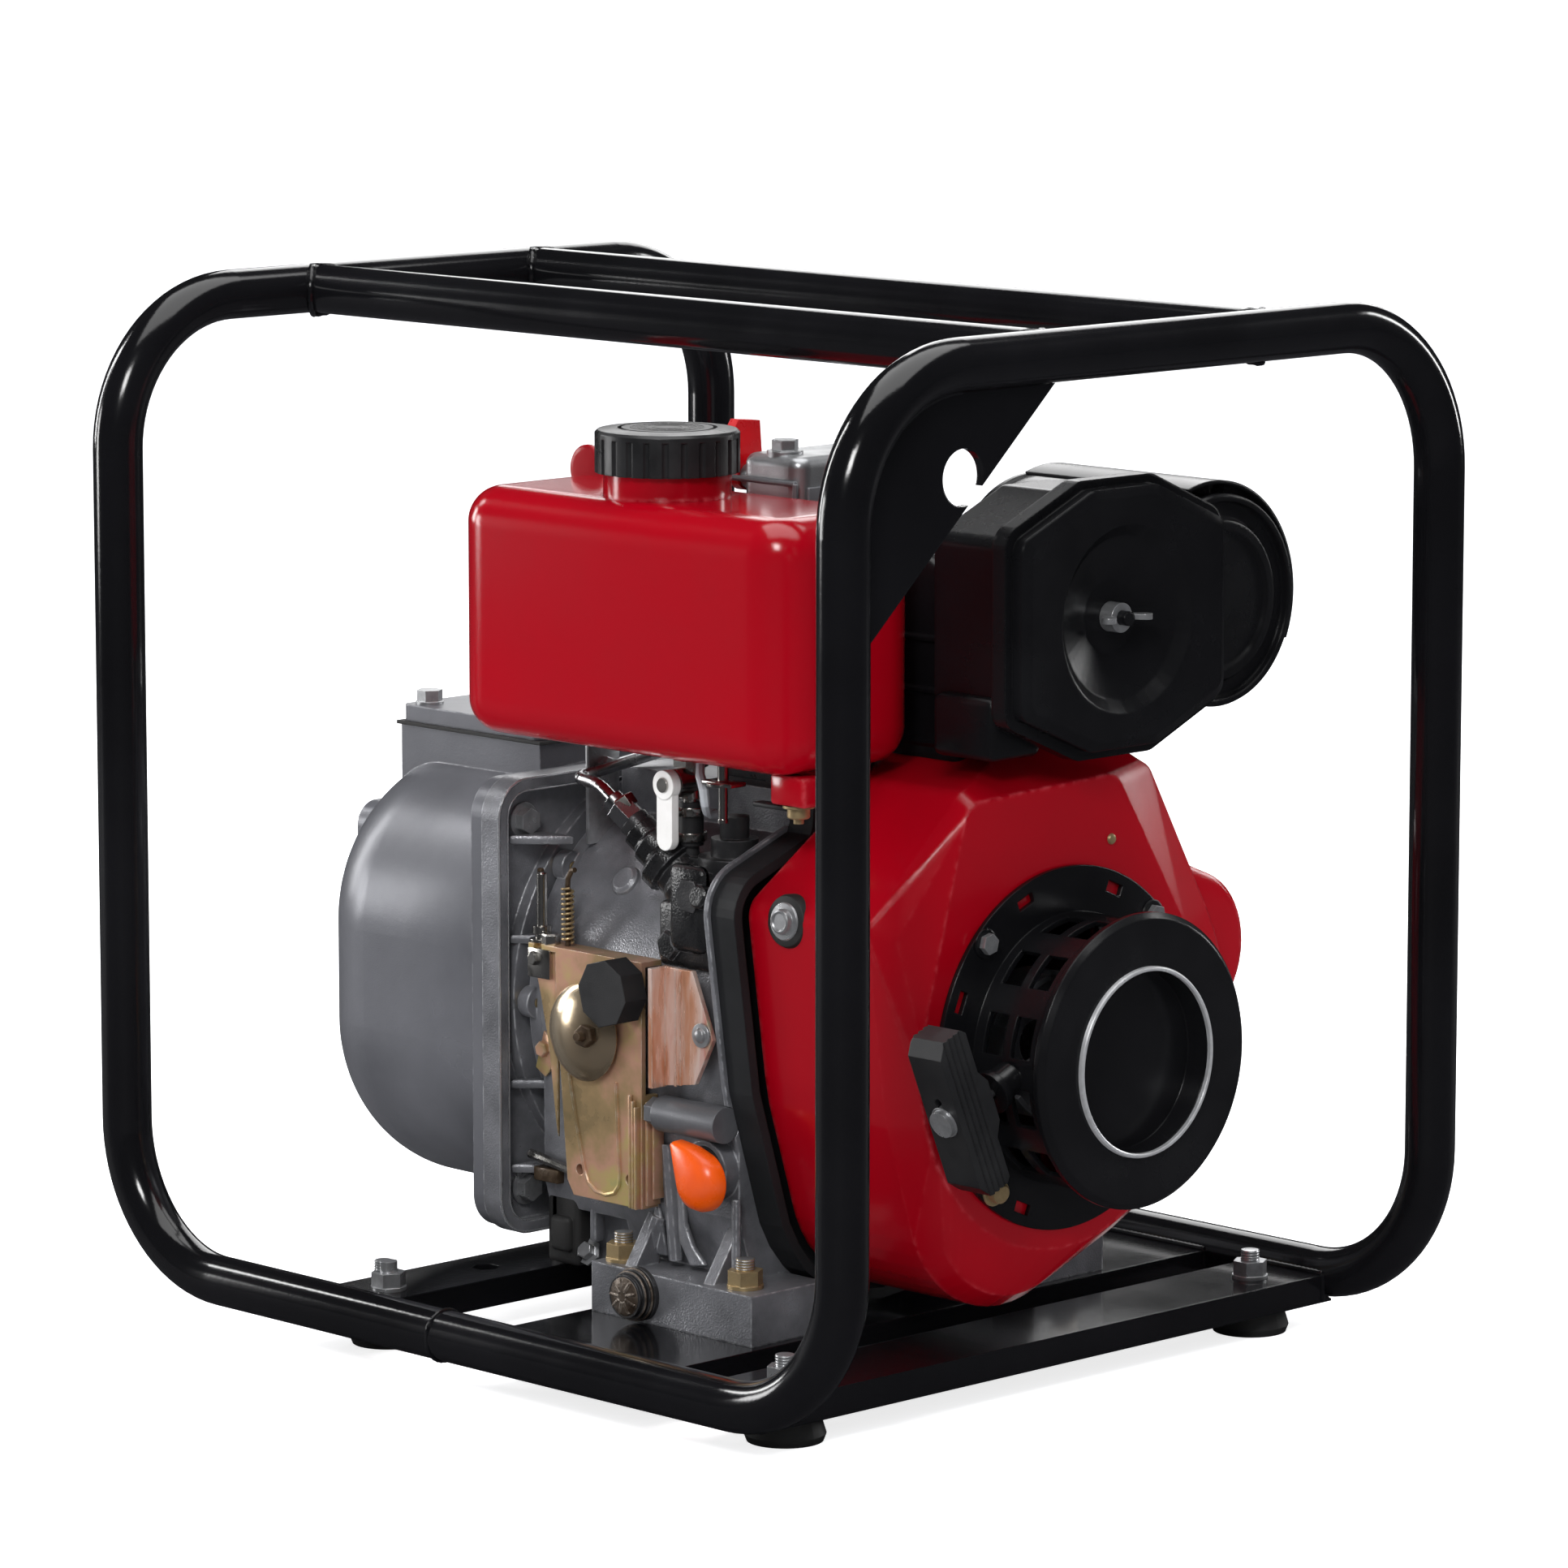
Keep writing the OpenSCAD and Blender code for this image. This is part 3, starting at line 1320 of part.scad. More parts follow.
// Cover with a rim step, chamfered corners and a dish round the wing nut.
module filter_cover() {
    nut_seat = filter_face - 16;
    color("#17181a") difference() {
        union() {
            face_x(filter_split - 6) linear_extrude(10)
                translate([filter_y, filter_mid]) filter_outline(0);
            face_x(filter_split + 3) linear_extrude(filter_face - filter_split - 6)
                translate([filter_y, filter_mid]) filter_outline(5);
            hull() {
                face_x(filter_face - 3.5) linear_extrude(0.5)
                    translate([filter_y, filter_mid]) filter_outline(5);
                face_x(filter_face - 0.5) linear_extrude(0.5)
                    translate([filter_y, filter_mid]) filter_outline(10);
            }
        }
        face_x(filter_split - 7) linear_extrude(7 - dish_floor)
            translate([filter_y, filter_mid]) filter_outline(7.5, box_narrow);
        face_x(filter_split - dish_floor - 0.5) linear_extrude(dish_floor + 0.8)
            translate([filter_y, filter_mid]) difference() {
                filter_outline(7.5, box_narrow);
                circle(dish_r + 3);
            }
        face_x(filter_split - 1) linear_extrude(filter_face - filter_split - 2)
            translate([filter_y, filter_mid]) difference() {
                filter_outline(9, box_narrow);
                circle(dish_r + 3);
            }
        about_filter() polygon([
            [0, nut_seat + 2], [20, nut_seat + 2], [dish_r - 8, filter_face - 6],
            [dish_r, filter_face + 1], [0, filter_face + 1]
        ]);
        rod_x(filter_split - 10, filter_face, filter_y, filter_mid, thread_r + free_clear);
    }
}

module wing_nut() {
    x0 = filter_face - 14 + 0.2;
    color("#c9ccd0") difference() {
        union() {
            rod_x(x0, x0 + 9, filter_y, filter_mid, 8);
            for (side = [-1, 1]) translate([x0 + 2, filter_y, filter_mid])
                mirror([0, side < 0 ? 1 : 0, 0]) translate([0, 6, -1.5]) linear_extrude(3) hull() {
                        square([6, 1]);
                        translate([11, 8]) circle(4, $fn = 24);
                    }
        }
        rod_x(x0 - 1, x0 + 30, filter_y, filter_mid, thread_r + run_clear);
    }
}

// ---- Exhaust -------------------------------------------------------------------------------

module about_muffler() {
    translate([0, muffler_y, muffler_mid]) rotate([90, 0, 90]) rotate_extrude() children();
}

module muffler() {
    r = muffler_r;
    t = 2;
    color("#131315") union() {
        about_muffler() polygon([
            [0, muffler_x1 - 3], [r - 22, muffler_x1 - 3], [r - 20, muffler_x1 - 1],
            [r - 15, muffler_x1 - 1], [r - 13, muffler_x1 - 4], [r - 5, muffler_x1 - 4],
            [r - 4, muffler_x1], [r - 1, muffler_x1], [r, muffler_x1 - 2],
            [r, muffler_x1 - 5], [r - 1.5, muffler_x1 - 7], [r - 1.5, muffler_x0 + 7],
            [r, muffler_x0 + 5], [r, muffler_x0 + 2], [r - 1, muffler_x0],
            [r - 4, muffler_x0], [r - 5, muffler_x0 + 4], [0, muffler_x0 + 4]
        ]);
        difference() {
            union() {
                rod_y(cyl_x, 74, 82, muffler_mid, 26);
                rod_x(cyl_x - 10, muffler_x0 + 5, muffler_y - 40, muffler_mid, 15);
                rod_y(cyl_x, 80, muffler_y - 40, muffler_mid, 17);
            }
            rod_y(cyl_x, 73, 90, muffler_mid, 13);
        }
        difference() {
            rod_x(muffler_x0 - 26, muffler_x0 + 5, muffler_y + 22, muffler_mid - 10, 13);
            rod_x(muffler_x0 - 27, muffler_x0 + 3, muffler_y + 22, muffler_mid - 10, 11);
        }
    }
}

// Curved sheet over the top and outer side of the drum, on four short stand-offs.
module heat_shield() {
    r = muffler_r + 5;
    color("#1b1c1e") difference() {
        union() {
            about_shield(muffler_x0 + 20, muffler_l - 26, r, r + 2);
            for (x = [muffler_x0 + 36, muffler_x1 - 24], a = [0, 70])
                translate([0, muffler_y, muffler_mid]) rotate([a, 0, 0])
                    rod_y(x, muffler_r - 1.4, r + 1, 0, 4);
        }
        for (k = [0 : 3])
            translate([muffler_x0 + 40 + 24 * k, muffler_y, muffler_mid]) rotate([35, 0, 0])
                translate([0, r - 2, -22]) cube([8, 6, 44]);
    }
}

module about_shield(x0, l, r0, r1) {
    translate([x0, muffler_y, muffler_mid]) rotate([90, 0, 90]) linear_extrude(l)
        difference() {
            intersection() {
                circle(r1);
                polygon([[0, 0], [90, -40], [90, 90], [-30, 90]]);
            }
            circle(r0);
        }
}

// ---- Water pump ----------------------------------------------------------------------------

register_d = 6;
casing_bolt_y = 108;
casing_bolt_z = 104;

// Rounded square outline that the casing's flange and the adapter share.
module flange_outline(inset) {
    translate([0, crank_z - 4]) rounded_rect(2 * (flange_w - inset), 2 * (flange_h - inset), 22 - inset);
}

module casing_bolt_places(x) {
    for (sy = [-1, 1], sz = [-1, 1])
        translate([x, sy * casing_bolt_y, crank_z - 4 + sz * casing_bolt_z]) children();
}

// Adapter plate between engine and pump, recessed outside the crankcase cover.
module pump_flange() {
    color("#787b7f") difference() {
        face_x(flange_x0) linear_extrude(flange_t) flange_outline(0);
        face_x(cover_x0 - 8) linear_extrude(9) difference() {
            flange_outline(7);
            translate([0, crank_z]) circle(case_r + 4, $fn = 96);
        }
        about_crank() polygon([[0, cover_x0 - 5], [bearing_r + 16, cover_x0 - 5],
            [bearing_r + 16, cover_x0 + 1], [0, cover_x0 + 1]]);
        about_crank() polygon([[62, flange_x0 - 1], [96, flange_x0 - 1], [96, flange_x0 + register_d],
            [62, flange_x0 + register_d]]);
        rod_x(flange_x0 - 1, cover_x0 + 1, 0, crank_z, journal_r + 3);
        casing_bolt_places(flange_x0 - 1) rotate([0, 90, 0]) cylinder(r = 4.3, h = flange_t + 2);
    }
}

casing_mid = crank_z - 4;
casing_low = 62;

// Rounded cast body: flat-bottomed barrel with a rounded front, square tower on top.
module casing_body(inset) {
    w = 2 * (pump_half_w - inset);
    h = 2 * (casing_mid - casing_low - inset);
    corner = belly_r - inset;
    edge = nose_r - inset;
    l = pump_l - inset;
    translate([flange_x0, 0, casing_mid]) rotate([90, 0, -90]) {
        linear_extrude(l - edge) rounded_rect(w, h, corner);
        translate([0, 0, l - edge]) rounded_cap(w, h, corner, edge);
    }
}

module pump_casing() {
    color("#7f8286") difference() {
        union() {
            casing_body(0);
            face_x(flange_x0 - lip_t) linear_extrude(lip_t) flange_outline(1.5);
            brick(tower_x0, tower_x1, -tower_y, tower_y, crank_z + 70, tower_top);
            rod_x(pump_x0 - 4, pump_x0 + 20, 0, suction_z, port_r + 14);
            brick(rear_member_x - 22, rear_member_x + 10, -pump_mount_y - 16, pump_mount_y + 16,
                pump_foot_z, casing_low + 12);
        }
        casing_body(pump_wall);
        casing_bolt_places(flange_x0 - lip_t - 1) rotate([0, 90, 0]) cylinder(r = 4.3, h = lip_t + 2);
        brick(tower_x0 + pump_wall, tower_x1 - pump_wall, pump_wall - tower_y,
            tower_y - pump_wall, crank_z + 50, tower_top + 1);
        rod_x(pump_x0 - 5, pump_x0 + 30, 0, suction_z, port_r + 1);
        brick(rear_member_x - 23, rear_member_x + 11, -pump_mount_y + 10, pump_mount_y - 10,
            pump_foot_z - 1, casing_low - 6);
    }
}

module impeller() {
    x0 = impeller_x;
    color("#8a6d3b") union() {
        about_crank() polygon([
            [10 + run_clear / 2, x0 - 8], [16, x0 - 8], [20, x0 + 14], [impeller_r, x0 + 18],
            [impeller_r, x0 + 21], [10 + run_clear / 2, x0 + 21]
        ]);
        for (k = [0 : impeller_blades - 1])
            translate([x0 + 4, 0, crank_z]) rotate([90, 0, 90])
                rotate(360 / impeller_blades * k) blade(17, impeller_r, 15, 4, 44);
    }
}

volute_r = 82;

// Spiral wall round the impeller, bolted to the pump flange.
module pump_volute() {
    x0 = impeller_x - 2;
    steps = 40;
    color("#6d7073") difference() {
        face_x(x0 - 6) linear_extrude(flange_x0 + register_d - x0 + 6) translate([0, crank_z])
            circle(volute_r + 12, $fn = 96);
        face_x(x0) linear_extrude(flange_x0 + register_d - x0 + 1) translate([0, crank_z])
            polygon([for (k = [0 : steps - 1])
                let (a = 360 * k / steps, r = impeller_r + 4 + 14 * k / steps)
                    [r * cos(a), r * sin(a)]]);
        rod_x(x0 - 7, x0 + 1, 0, crank_z, 34);
        translate([x0 + 2, 30, crank_z + 44]) cube([24, 34, 50]);
    }
}

// Black gasket under the discharge flange and the two mounts under the casing's foot.
module pump_rubbers() {
    x = (tower_x0 + tower_x1) / 2;
    color("#111213") {
        difference() {
            translate([x, 0, tower_top]) linear_extrude(gasket_t)
                square([tower_x1 - tower_x0 + 4, 2 * tower_y + 4], center = true);
            rod_z(x, 0, tower_top - 1, tower_top + gasket_t + 1, port_r + 8);
        }
        for (side = [-1, 1])
            rod_z(rear_member_x, side * pump_mount_y, base_z, pump_foot_z, 14);
    }
}

module discharge_flange() {
    x = (tower_x0 + tower_x1) / 2;
    low = tower_top + gasket_t;
    color("#85888b") difference() {
        translate([x, 0, low]) linear_extrude(lid_t)
            rounded_rect(tower_x1 - tower_x0, 2 * tower_y, 6);
        rod_z(x, 0, low - 1, low + lid_t + 1, port_r);
        for (sx = [-1, 1], sy = [-1, 1])
            rod_z(x + sx * 48, sy * 48, low - 1, low + lid_t + 1, 4.2);
    }
}

module suction_flange() {
    color("#74777b") difference() {
        face_x(pump_x0 - 4 - suction_t) linear_extrude(suction_t) translate([0, suction_z])
            rounded_rect(112, 98, 14);
        rod_x(pump_x0 - 5 - suction_t, pump_x0, 0, suction_z, port_r);
        for (sy = [-1, 1], sz = [-1, 1])
            rod_x(pump_x0 - 30, pump_x0, sy * 42, suction_z + sz * 35, 4.2);
    }
}

module pump_bolts() {
    x = (tower_x0 + tower_x1) / 2;
    color("#a9acb0") {
        for (sx = [-1, 1], sy = [-1, 1])
            translate([x + sx * 48, sy * 48, tower_top + gasket_t + lid_t]) {
                cylinder(r = 8, h = 1.6);
                translate([0, 0, 1.6]) hex_head(13, 6.5);
            }
        for (sy = [-1, 1], sz = [-1, 1])
            translate([pump_x0 - 4 - suction_t - 8, sy * 42, suction_z + sz * 35])
                rotate([0, 90, 0]) hex_head(13, 8);
        casing_bolt_places(flange_x0 - lip_t - 6) rotate([0, 90, 0]) {
            hex_head(13, 6);
            cylinder(r = 4, h = lip_t + flange_t + 6);
            translate([0, 0, lip_t + flange_t - 2]) cylinder(r = 10, h = 2);
            translate([0, 0, lip_t + flange_t]) hex_head(13, 6);
        }
    }
}

starter_end_hoop();
pump_end_hoop();
top_rails();
lifting_gusset();
front_crossmember();
rear_crossmember();
engine_plate();
rubber_feet();
foot_bolts();
crankcase();
crankcase_cover();
main_bearings();
crankshaft();
engine_bolts();
cylinder_barrel();
cylinder_head();
rocker_cover();
decompression_lever();
flywheel_blower();
blower_backplate();
blower_shroud();
shroud_bolts();
starter_housing();
starter_ring();
starter_pulley();
starter_cup();
starter_rope();
starter_grip();
grip_plug();
fuel_tank();
tank_brackets();
fuel_cap();
cap_gasket();
fuel_tap();
tap_lever();
fuel_hose();
injection_pump();
injector_pipe();
control_plate();
speed_lever();
lever_knob();
stop_plate();
oil_screen_housing();
dipstick_cap();
dipstick_seal();
drain_plug();
filter_housing();
filter_element();
filter_cover();
wing_nut();
muffler();
heat_shield();
pump_flange();
pump_casing();
impeller();
pump_volute();
pump_rubbers();
discharge_flange();
suction_flange();
pump_bolts();
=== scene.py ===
import math

import bmesh
import bpy
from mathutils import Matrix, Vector


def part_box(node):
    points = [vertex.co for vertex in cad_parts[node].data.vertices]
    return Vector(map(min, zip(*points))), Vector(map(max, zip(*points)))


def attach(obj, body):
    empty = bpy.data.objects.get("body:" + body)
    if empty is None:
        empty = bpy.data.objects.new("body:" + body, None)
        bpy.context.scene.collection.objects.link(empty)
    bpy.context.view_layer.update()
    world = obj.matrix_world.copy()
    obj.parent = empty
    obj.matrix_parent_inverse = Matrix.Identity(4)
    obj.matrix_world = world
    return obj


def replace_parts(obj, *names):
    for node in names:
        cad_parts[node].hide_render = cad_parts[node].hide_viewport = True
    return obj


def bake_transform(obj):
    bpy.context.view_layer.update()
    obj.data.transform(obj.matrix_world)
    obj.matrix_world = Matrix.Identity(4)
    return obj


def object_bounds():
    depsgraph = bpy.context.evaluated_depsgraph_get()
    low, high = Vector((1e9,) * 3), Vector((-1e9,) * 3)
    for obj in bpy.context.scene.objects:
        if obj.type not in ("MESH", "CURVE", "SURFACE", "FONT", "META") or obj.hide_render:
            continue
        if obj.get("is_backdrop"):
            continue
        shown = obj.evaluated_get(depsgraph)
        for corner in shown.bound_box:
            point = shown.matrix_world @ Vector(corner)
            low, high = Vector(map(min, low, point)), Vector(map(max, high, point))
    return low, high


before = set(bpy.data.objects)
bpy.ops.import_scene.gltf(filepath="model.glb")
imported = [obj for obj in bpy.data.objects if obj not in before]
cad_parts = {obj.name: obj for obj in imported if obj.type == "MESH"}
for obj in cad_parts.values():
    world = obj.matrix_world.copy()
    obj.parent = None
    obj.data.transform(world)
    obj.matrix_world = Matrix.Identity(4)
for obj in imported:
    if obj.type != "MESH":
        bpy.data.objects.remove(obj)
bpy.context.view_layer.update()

# ---- Studio
# A pale sweep of floor under an overhead softbox, two upright strips, a key, a low fill and a
# rear light. A long lens looks slightly down at the corner between tank and recoil starter.
# The floor glows for the lens alone, and a glossy surface sees it nearly black.
floor_mesh = bmesh.new()
bmesh.ops.create_grid(floor_mesh, x_segments=1, y_segments=1, size=14.0)
floor_data = bpy.data.meshes.new("floor")
floor_mesh.to_mesh(floor_data)
floor_mesh.free()
floor = bpy.data.objects.new("floor", floor_data)
bpy.context.scene.collection.objects.link(floor)
floor_paint = bpy.data.materials.new("floor_white")
floor_paint.use_nodes = True
floor_shader = floor_paint.node_tree.nodes["Principled BSDF"]
floor_shader.inputs["Roughness"].default_value = 0.75
floor_shader.inputs["Specular IOR Level"].default_value = 0.15
floor_nodes, floor_links = floor_paint.node_tree.nodes, floor_paint.node_tree.links
facing_lens = floor_nodes.new("ShaderNodeLightPath")
glow = floor_nodes.new("ShaderNodeMath")
glow.operation = "MULTIPLY"
glow.inputs[1].default_value = 0.78
floor_links.new(facing_lens.outputs["Is Camera Ray"], glow.inputs[0])
mirrored_floor = floor_nodes.new("ShaderNodeMix")
mirrored_floor.data_type = "RGBA"
mirrored_floor.inputs[6].default_value = (0.8, 0.8, 0.81, 1)
mirrored_floor.inputs[7].default_value = (0.025, 0.025, 0.028, 1)
floor_links.new(facing_lens.outputs["Is Glossy Ray"], mirrored_floor.inputs["Factor"])
floor_links.new(mirrored_floor.outputs[2], floor_shader.inputs["Base Color"])
floor_links.new(glow.outputs[0], floor_shader.inputs["Emission Strength"])
floor_shader.inputs["Emission Color"].default_value = (1, 1, 1, 1)
floor_data.materials.append(floor_paint)
floor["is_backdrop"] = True

# The lens sees white round the object, glossy surfaces see black cloth, all else dim walls.
room = bpy.data.worlds.new("studio")
room.use_nodes = True
bpy.context.scene.world = room
room_nodes, room_links = room.node_tree.nodes, room.node_tree.links
backdrop = room_nodes["Background"]
backdrop.inputs["Color"].default_value = (1, 1, 1, 1)
backdrop.inputs["Strength"].default_value = 1.0
dim_walls = room_nodes.new("ShaderNodeBackground")
dim_walls.inputs["Color"].default_value = (0.93, 0.95, 1, 1)
dim_walls.inputs["Strength"].default_value = 0.7
black_cloth = room_nodes.new("ShaderNodeBackground")
black_cloth.inputs["Color"].default_value = (0.93, 0.95, 1, 1)
black_cloth.inputs["Strength"].default_value = 0.015
seen = room_nodes.new("ShaderNodeLightPath")
mirrored = room_nodes.new("ShaderNodeMixShader")
choose = room_nodes.new("ShaderNodeMixShader")
room_links.new(seen.outputs["Is Glossy Ray"], mirrored.inputs[0])
room_links.new(dim_walls.outputs[0], mirrored.inputs[1])
room_links.new(black_cloth.outputs[0], mirrored.inputs[2])
room_links.new(seen.outputs["Is Camera Ray"], choose.inputs[0])
room_links.new(mirrored.outputs[0], choose.inputs[1])
room_links.new(backdrop.outputs[0], choose.inputs[2])
room_links.new(choose.outputs[0], room_nodes["World Output"].inputs["Surface"])


def softbox(name, place, target, width, height, watts, tint=(1, 1, 1)):
    lamp = bpy.data.lights.new(name, "AREA")
    lamp.shape = "RECTANGLE"
    lamp.size, lamp.size_y = width, height
    lamp.energy = watts
    lamp.color = tint
    box = bpy.data.objects.new(name, lamp)
    bpy.context.scene.collection.objects.link(box)
    box.location = place
    box.rotation_euler = (Vector(target) - Vector(place)).to_track_quat("-Z", "Y").to_euler()


softbox("overhead", (0.1, 0.1, 2.6), (0, 0, 0.3), 2.4, 2.4, 56)
softbox("strip_left", (-2.8, -0.75, 1.3), (0, 0, 0.3), 0.3, 2.0, 34)
softbox("strip_right", (0.9, 2.9, 1.3), (0.1, 0, 0.3), 0.35, 2.0, 34)
softbox("key", (1.9, -2.9, 2.6), (0, 0, 0.25), 0.9, 0.9, 74)
softbox("low_left", (-2.3, -1.5, 0.55), (-0.1, 0, 0.2), 0.5, 0.8, 16)
softbox("rear", (-1.8, 2.2, 1.7), (0, 0, 0.3), 1.6, 1.6, 26)

camera_data = bpy.data.cameras.new("camera")
camera_data.sensor_width = 36
camera_data.lens = 167.4
camera = bpy.data.objects.new("camera", camera_data)
bpy.context.scene.collection.objects.link(camera)
camera.location = (2.8765, -2.8027, 0.9310)
aim = Vector((-0.0113, 0.0209, 0.3046))
camera.rotation_euler = (aim - camera.location).to_track_quat("-Z", "Y").to_euler()
bpy.context.scene.camera = camera
bpy.context.scene.view_settings.view_transform = "Standard"

# ---- Tube frame
# Two bent steel hoops joined by straight rails and folded cross members, all welded, then
# powder coated gloss black. The coat is a little rubbed along its edges.


def open_group(name, inputs, outputs):
    group = bpy.data.node_groups.new(name, "ShaderNodeTree")
    for label, value in inputs.items():
        socket = group.interface.new_socket(label, in_out="INPUT", socket_type="NodeSocketFloat")
        socket.default_value = value
    for label, kind in outputs.items():
        group.interface.new_socket(label, in_out="OUTPUT", socket_type="NodeSocket" + kind)
    return group, group.nodes.new("NodeGroupInput"), group.nodes.new("NodeGroupOutput")


def node(tree, kind, **values):
    made = tree.nodes.new("ShaderNode" + kind)
    for key, value in values.items():
        if hasattr(made, key):
            setattr(made, key, value)
        else:
            made.inputs[key.replace("_", " ").title()].default_value = value
    return made


# Rounded edges: the bevelled normal, and a broken mask along every corner. The mask marks wear
# from rubbing on most finishes, and a painted highlight along the red enamel's edges and creases.
edge_wear_and_highlight_group, r_in, r_out = open_group(
    "rubbed edges", {"Radius": 0.001, "Breakup": 160.0}, {"Normal": "Vector", "Mask": "Float"}
)
rounding = node(edge_wear_and_highlight_group, "Bevel", samples=4)
flat_normal = node(edge_wear_and_highlight_group, "NewGeometry")
facing = node(edge_wear_and_highlight_group, "VectorMath", operation="DOT_PRODUCT")
turned = node(edge_wear_and_highlight_group, "Math", operation="SUBTRACT")
turned.inputs[0].default_value = 1.0
patches = node(edge_wear_and_highlight_group, "TexNoise", detail=4.0)
place_r = node(edge_wear_and_highlight_group, "TexCoord")
gain = node(edge_wear_and_highlight_group, "Math", operation="MULTIPLY", use_clamp=True)
gain.inputs[1].default_value = 9.0
broken = node(edge_wear_and_highlight_group, "MapRange")
broken.inputs["From Min"].default_value = 0.42
broken.inputs["From Max"].default_value = 0.62
both = node(edge_wear_and_highlight_group, "Math", operation="MULTIPLY", use_clamp=True)
link = edge_wear_and_highlight_group.links.new
link(r_in.outputs["Radius"], rounding.inputs["Radius"])
link(rounding.outputs[0], facing.inputs[0])
link(flat_normal.outputs["Normal"], facing.inputs[1])
link(facing.outputs["Value"], turned.inputs[1])
link(turned.outputs[0], gain.inputs[0])
link(place_r.outputs["Object"], patches.inputs["Vector"])
link(r_in.outputs["Breakup"], patches.inputs["Scale"])
link(patches.outputs["Fac"], broken.inputs["Value"])
link(gain.outputs[0], both.inputs[0])
link(broken.outputs[0], both.inputs[1])
link(rounding.outputs[0], r_out.inputs["Normal"])
link(both.outputs[0], r_out.inputs["Mask"])

# Slow drifts of shade and gloss over a surface, as dust, handling and uneven coating leave.
drifts, d_in, d_out = open_group("drifts", {"Scale": 9.0, "Stretch": 1.0}, {"Fac": "Float"})
place_d = node(drifts, "TexCoord")
squeeze = node(drifts, "CombineXYZ")
squeeze.inputs[0].default_value = 1.0
squeeze.inputs[1].default_value = 1.0
scaled = node(drifts, "VectorMath", operation="MULTIPLY")
cloud = node(drifts, "TexNoise", detail=5.0, roughness=0.58)
cloud_level = node(drifts, "MapRange")
cloud_level.inputs["From Min"].default_value = 0.28
cloud_level.inputs["From Max"].default_value = 0.72
link = drifts.links.new
link(d_in.outputs["Stretch"], squeeze.inputs[2])
link(place_d.outputs["Object"], scaled.inputs[0])
link(squeeze.outputs[0], scaled.inputs[1])
link(scaled.outputs[0], cloud.inputs["Vector"])
link(d_in.outputs["Scale"], cloud.inputs["Scale"])
link(cloud.outputs["Fac"], cloud_level.inputs["Value"])
link(cloud_level.outputs[0], d_out.inputs["Fac"])

# Fine relief: soft ripple of sprayed paint at one end, sharp pitted sand grain at the other.
relief, g_in, g_out = open_group(
    "relief", {"Ripple": 300.0, "Grain": 1500.0, "Sand": 0.0}, {"Height": "Float"}
)
place_g = node(relief, "TexCoord")
ripple = node(relief, "TexNoise", detail=2.0)
sand = node(relief, "TexVoronoi", feature="SMOOTH_F1")
pick = node(relief, "Mix", data_type="FLOAT")
link = relief.links.new
link(place_g.outputs["Object"], ripple.inputs["Vector"])
link(place_g.outputs["Object"], sand.inputs["Vector"])
link(g_in.outputs["Ripple"], ripple.inputs["Scale"])
link(g_in.outputs["Grain"], sand.inputs["Scale"])
link(g_in.outputs["Sand"], pick.inputs["Factor"])
link(ripple.outputs["Fac"], pick.inputs[2])
link(sand.outputs["Distance"], pick.inputs[3])
link(pick.outputs[0], g_out.inputs["Height"])


def use_group(tree, group, **values):
    made = tree.nodes.new("ShaderNodeGroup")
    made.node_tree = group
    for key, value in values.items():
        made.inputs[key.title()].default_value = value
    return made


def finish(name, color, shade, gloss, metal=0.0, coat=0.0, drift=9.0, stretch=1.0, ripple=300.0,
           grain=1500.0, sand=0.0, depth=0.00002, edge=0.0008, wear_and_highlight_amount=0.0, wear_and_highlight_color=(0.5, 0.5, 0.5),
           level=0.5, tints=()):
    """A finish whose shade drifts from color to shade, or through tints, its roughness over
    gloss, its corners rounded by edge. Along the corners its colour moves towards
    wear_and_highlight_color: wear from rubbing on most finishes, a painted highlight on the red enamel."""
    made = bpy.data.materials.new(name)
    made.use_nodes = True
    tree = made.node_tree
    shader = tree.nodes["Principled BSDF"]
    shader.inputs["Metallic"].default_value = metal
    shader.inputs["Coat Weight"].default_value = coat
    shader.inputs["Coat Roughness"].default_value = 0.05
    shader.inputs["Specular IOR Level"].default_value = level
    drifting = use_group(tree, drifts, scale=drift, stretch=stretch)
    corners = use_group(tree, edge_wear_and_highlight_group, radius=edge)
    surface = use_group(tree, relief, ripple=ripple, grain=grain, sand=sand)
    tone = node(tree, "ValToRGB")
    stops = tints or ((0.0, color), (1.0, shade))
    while len(tone.color_ramp.elements) < len(stops):
        tone.color_ramp.elements.new(0.5)
    for stop, (place, tint) in zip(tone.color_ramp.elements, stops):
        stop.position = place
        stop.color = (*tint, 1)
    sheen = node(tree, "MapRange")
    sheen.inputs["To Min"].default_value, sheen.inputs["To Max"].default_value = gloss
    bump = node(tree, "Bump")
    bump.inputs["Distance"].default_value = depth
    # Corner colour: wear from rubbing on most finishes, a painted highlight on the red enamel.
    amount = node(tree, "Math", operation="MULTIPLY")
    amount.inputs[1].default_value = wear_and_highlight_amount
    wear_and_highlight_mix = node(tree, "Mix", data_type="RGBA")
    wear_and_highlight_mix.inputs[7].default_value = (*wear_and_highlight_color, 1)
    link = tree.links.new
    link(drifting.outputs["Fac"], tone.inputs["Fac"])
    link(drifting.outputs["Fac"], sheen.inputs["Value"])
    link(sheen.outputs[0], shader.inputs["Roughness"])
    link(surface.outputs["Height"], bump.inputs["Height"])
    link(corners.outputs["Normal"], bump.inputs["Normal"])
    link(bump.outputs["Normal"], shader.inputs["Normal"])
    link(corners.outputs["Mask"], amount.inputs[0])
    link(amount.outputs[0], wear_and_highlight_mix.inputs["Factor"])
    link(tone.outputs["Color"], wear_and_highlight_mix.inputs[6])
    link(wear_and_highlight_mix.outputs[2], shader.inputs["Base Color"])
    return made


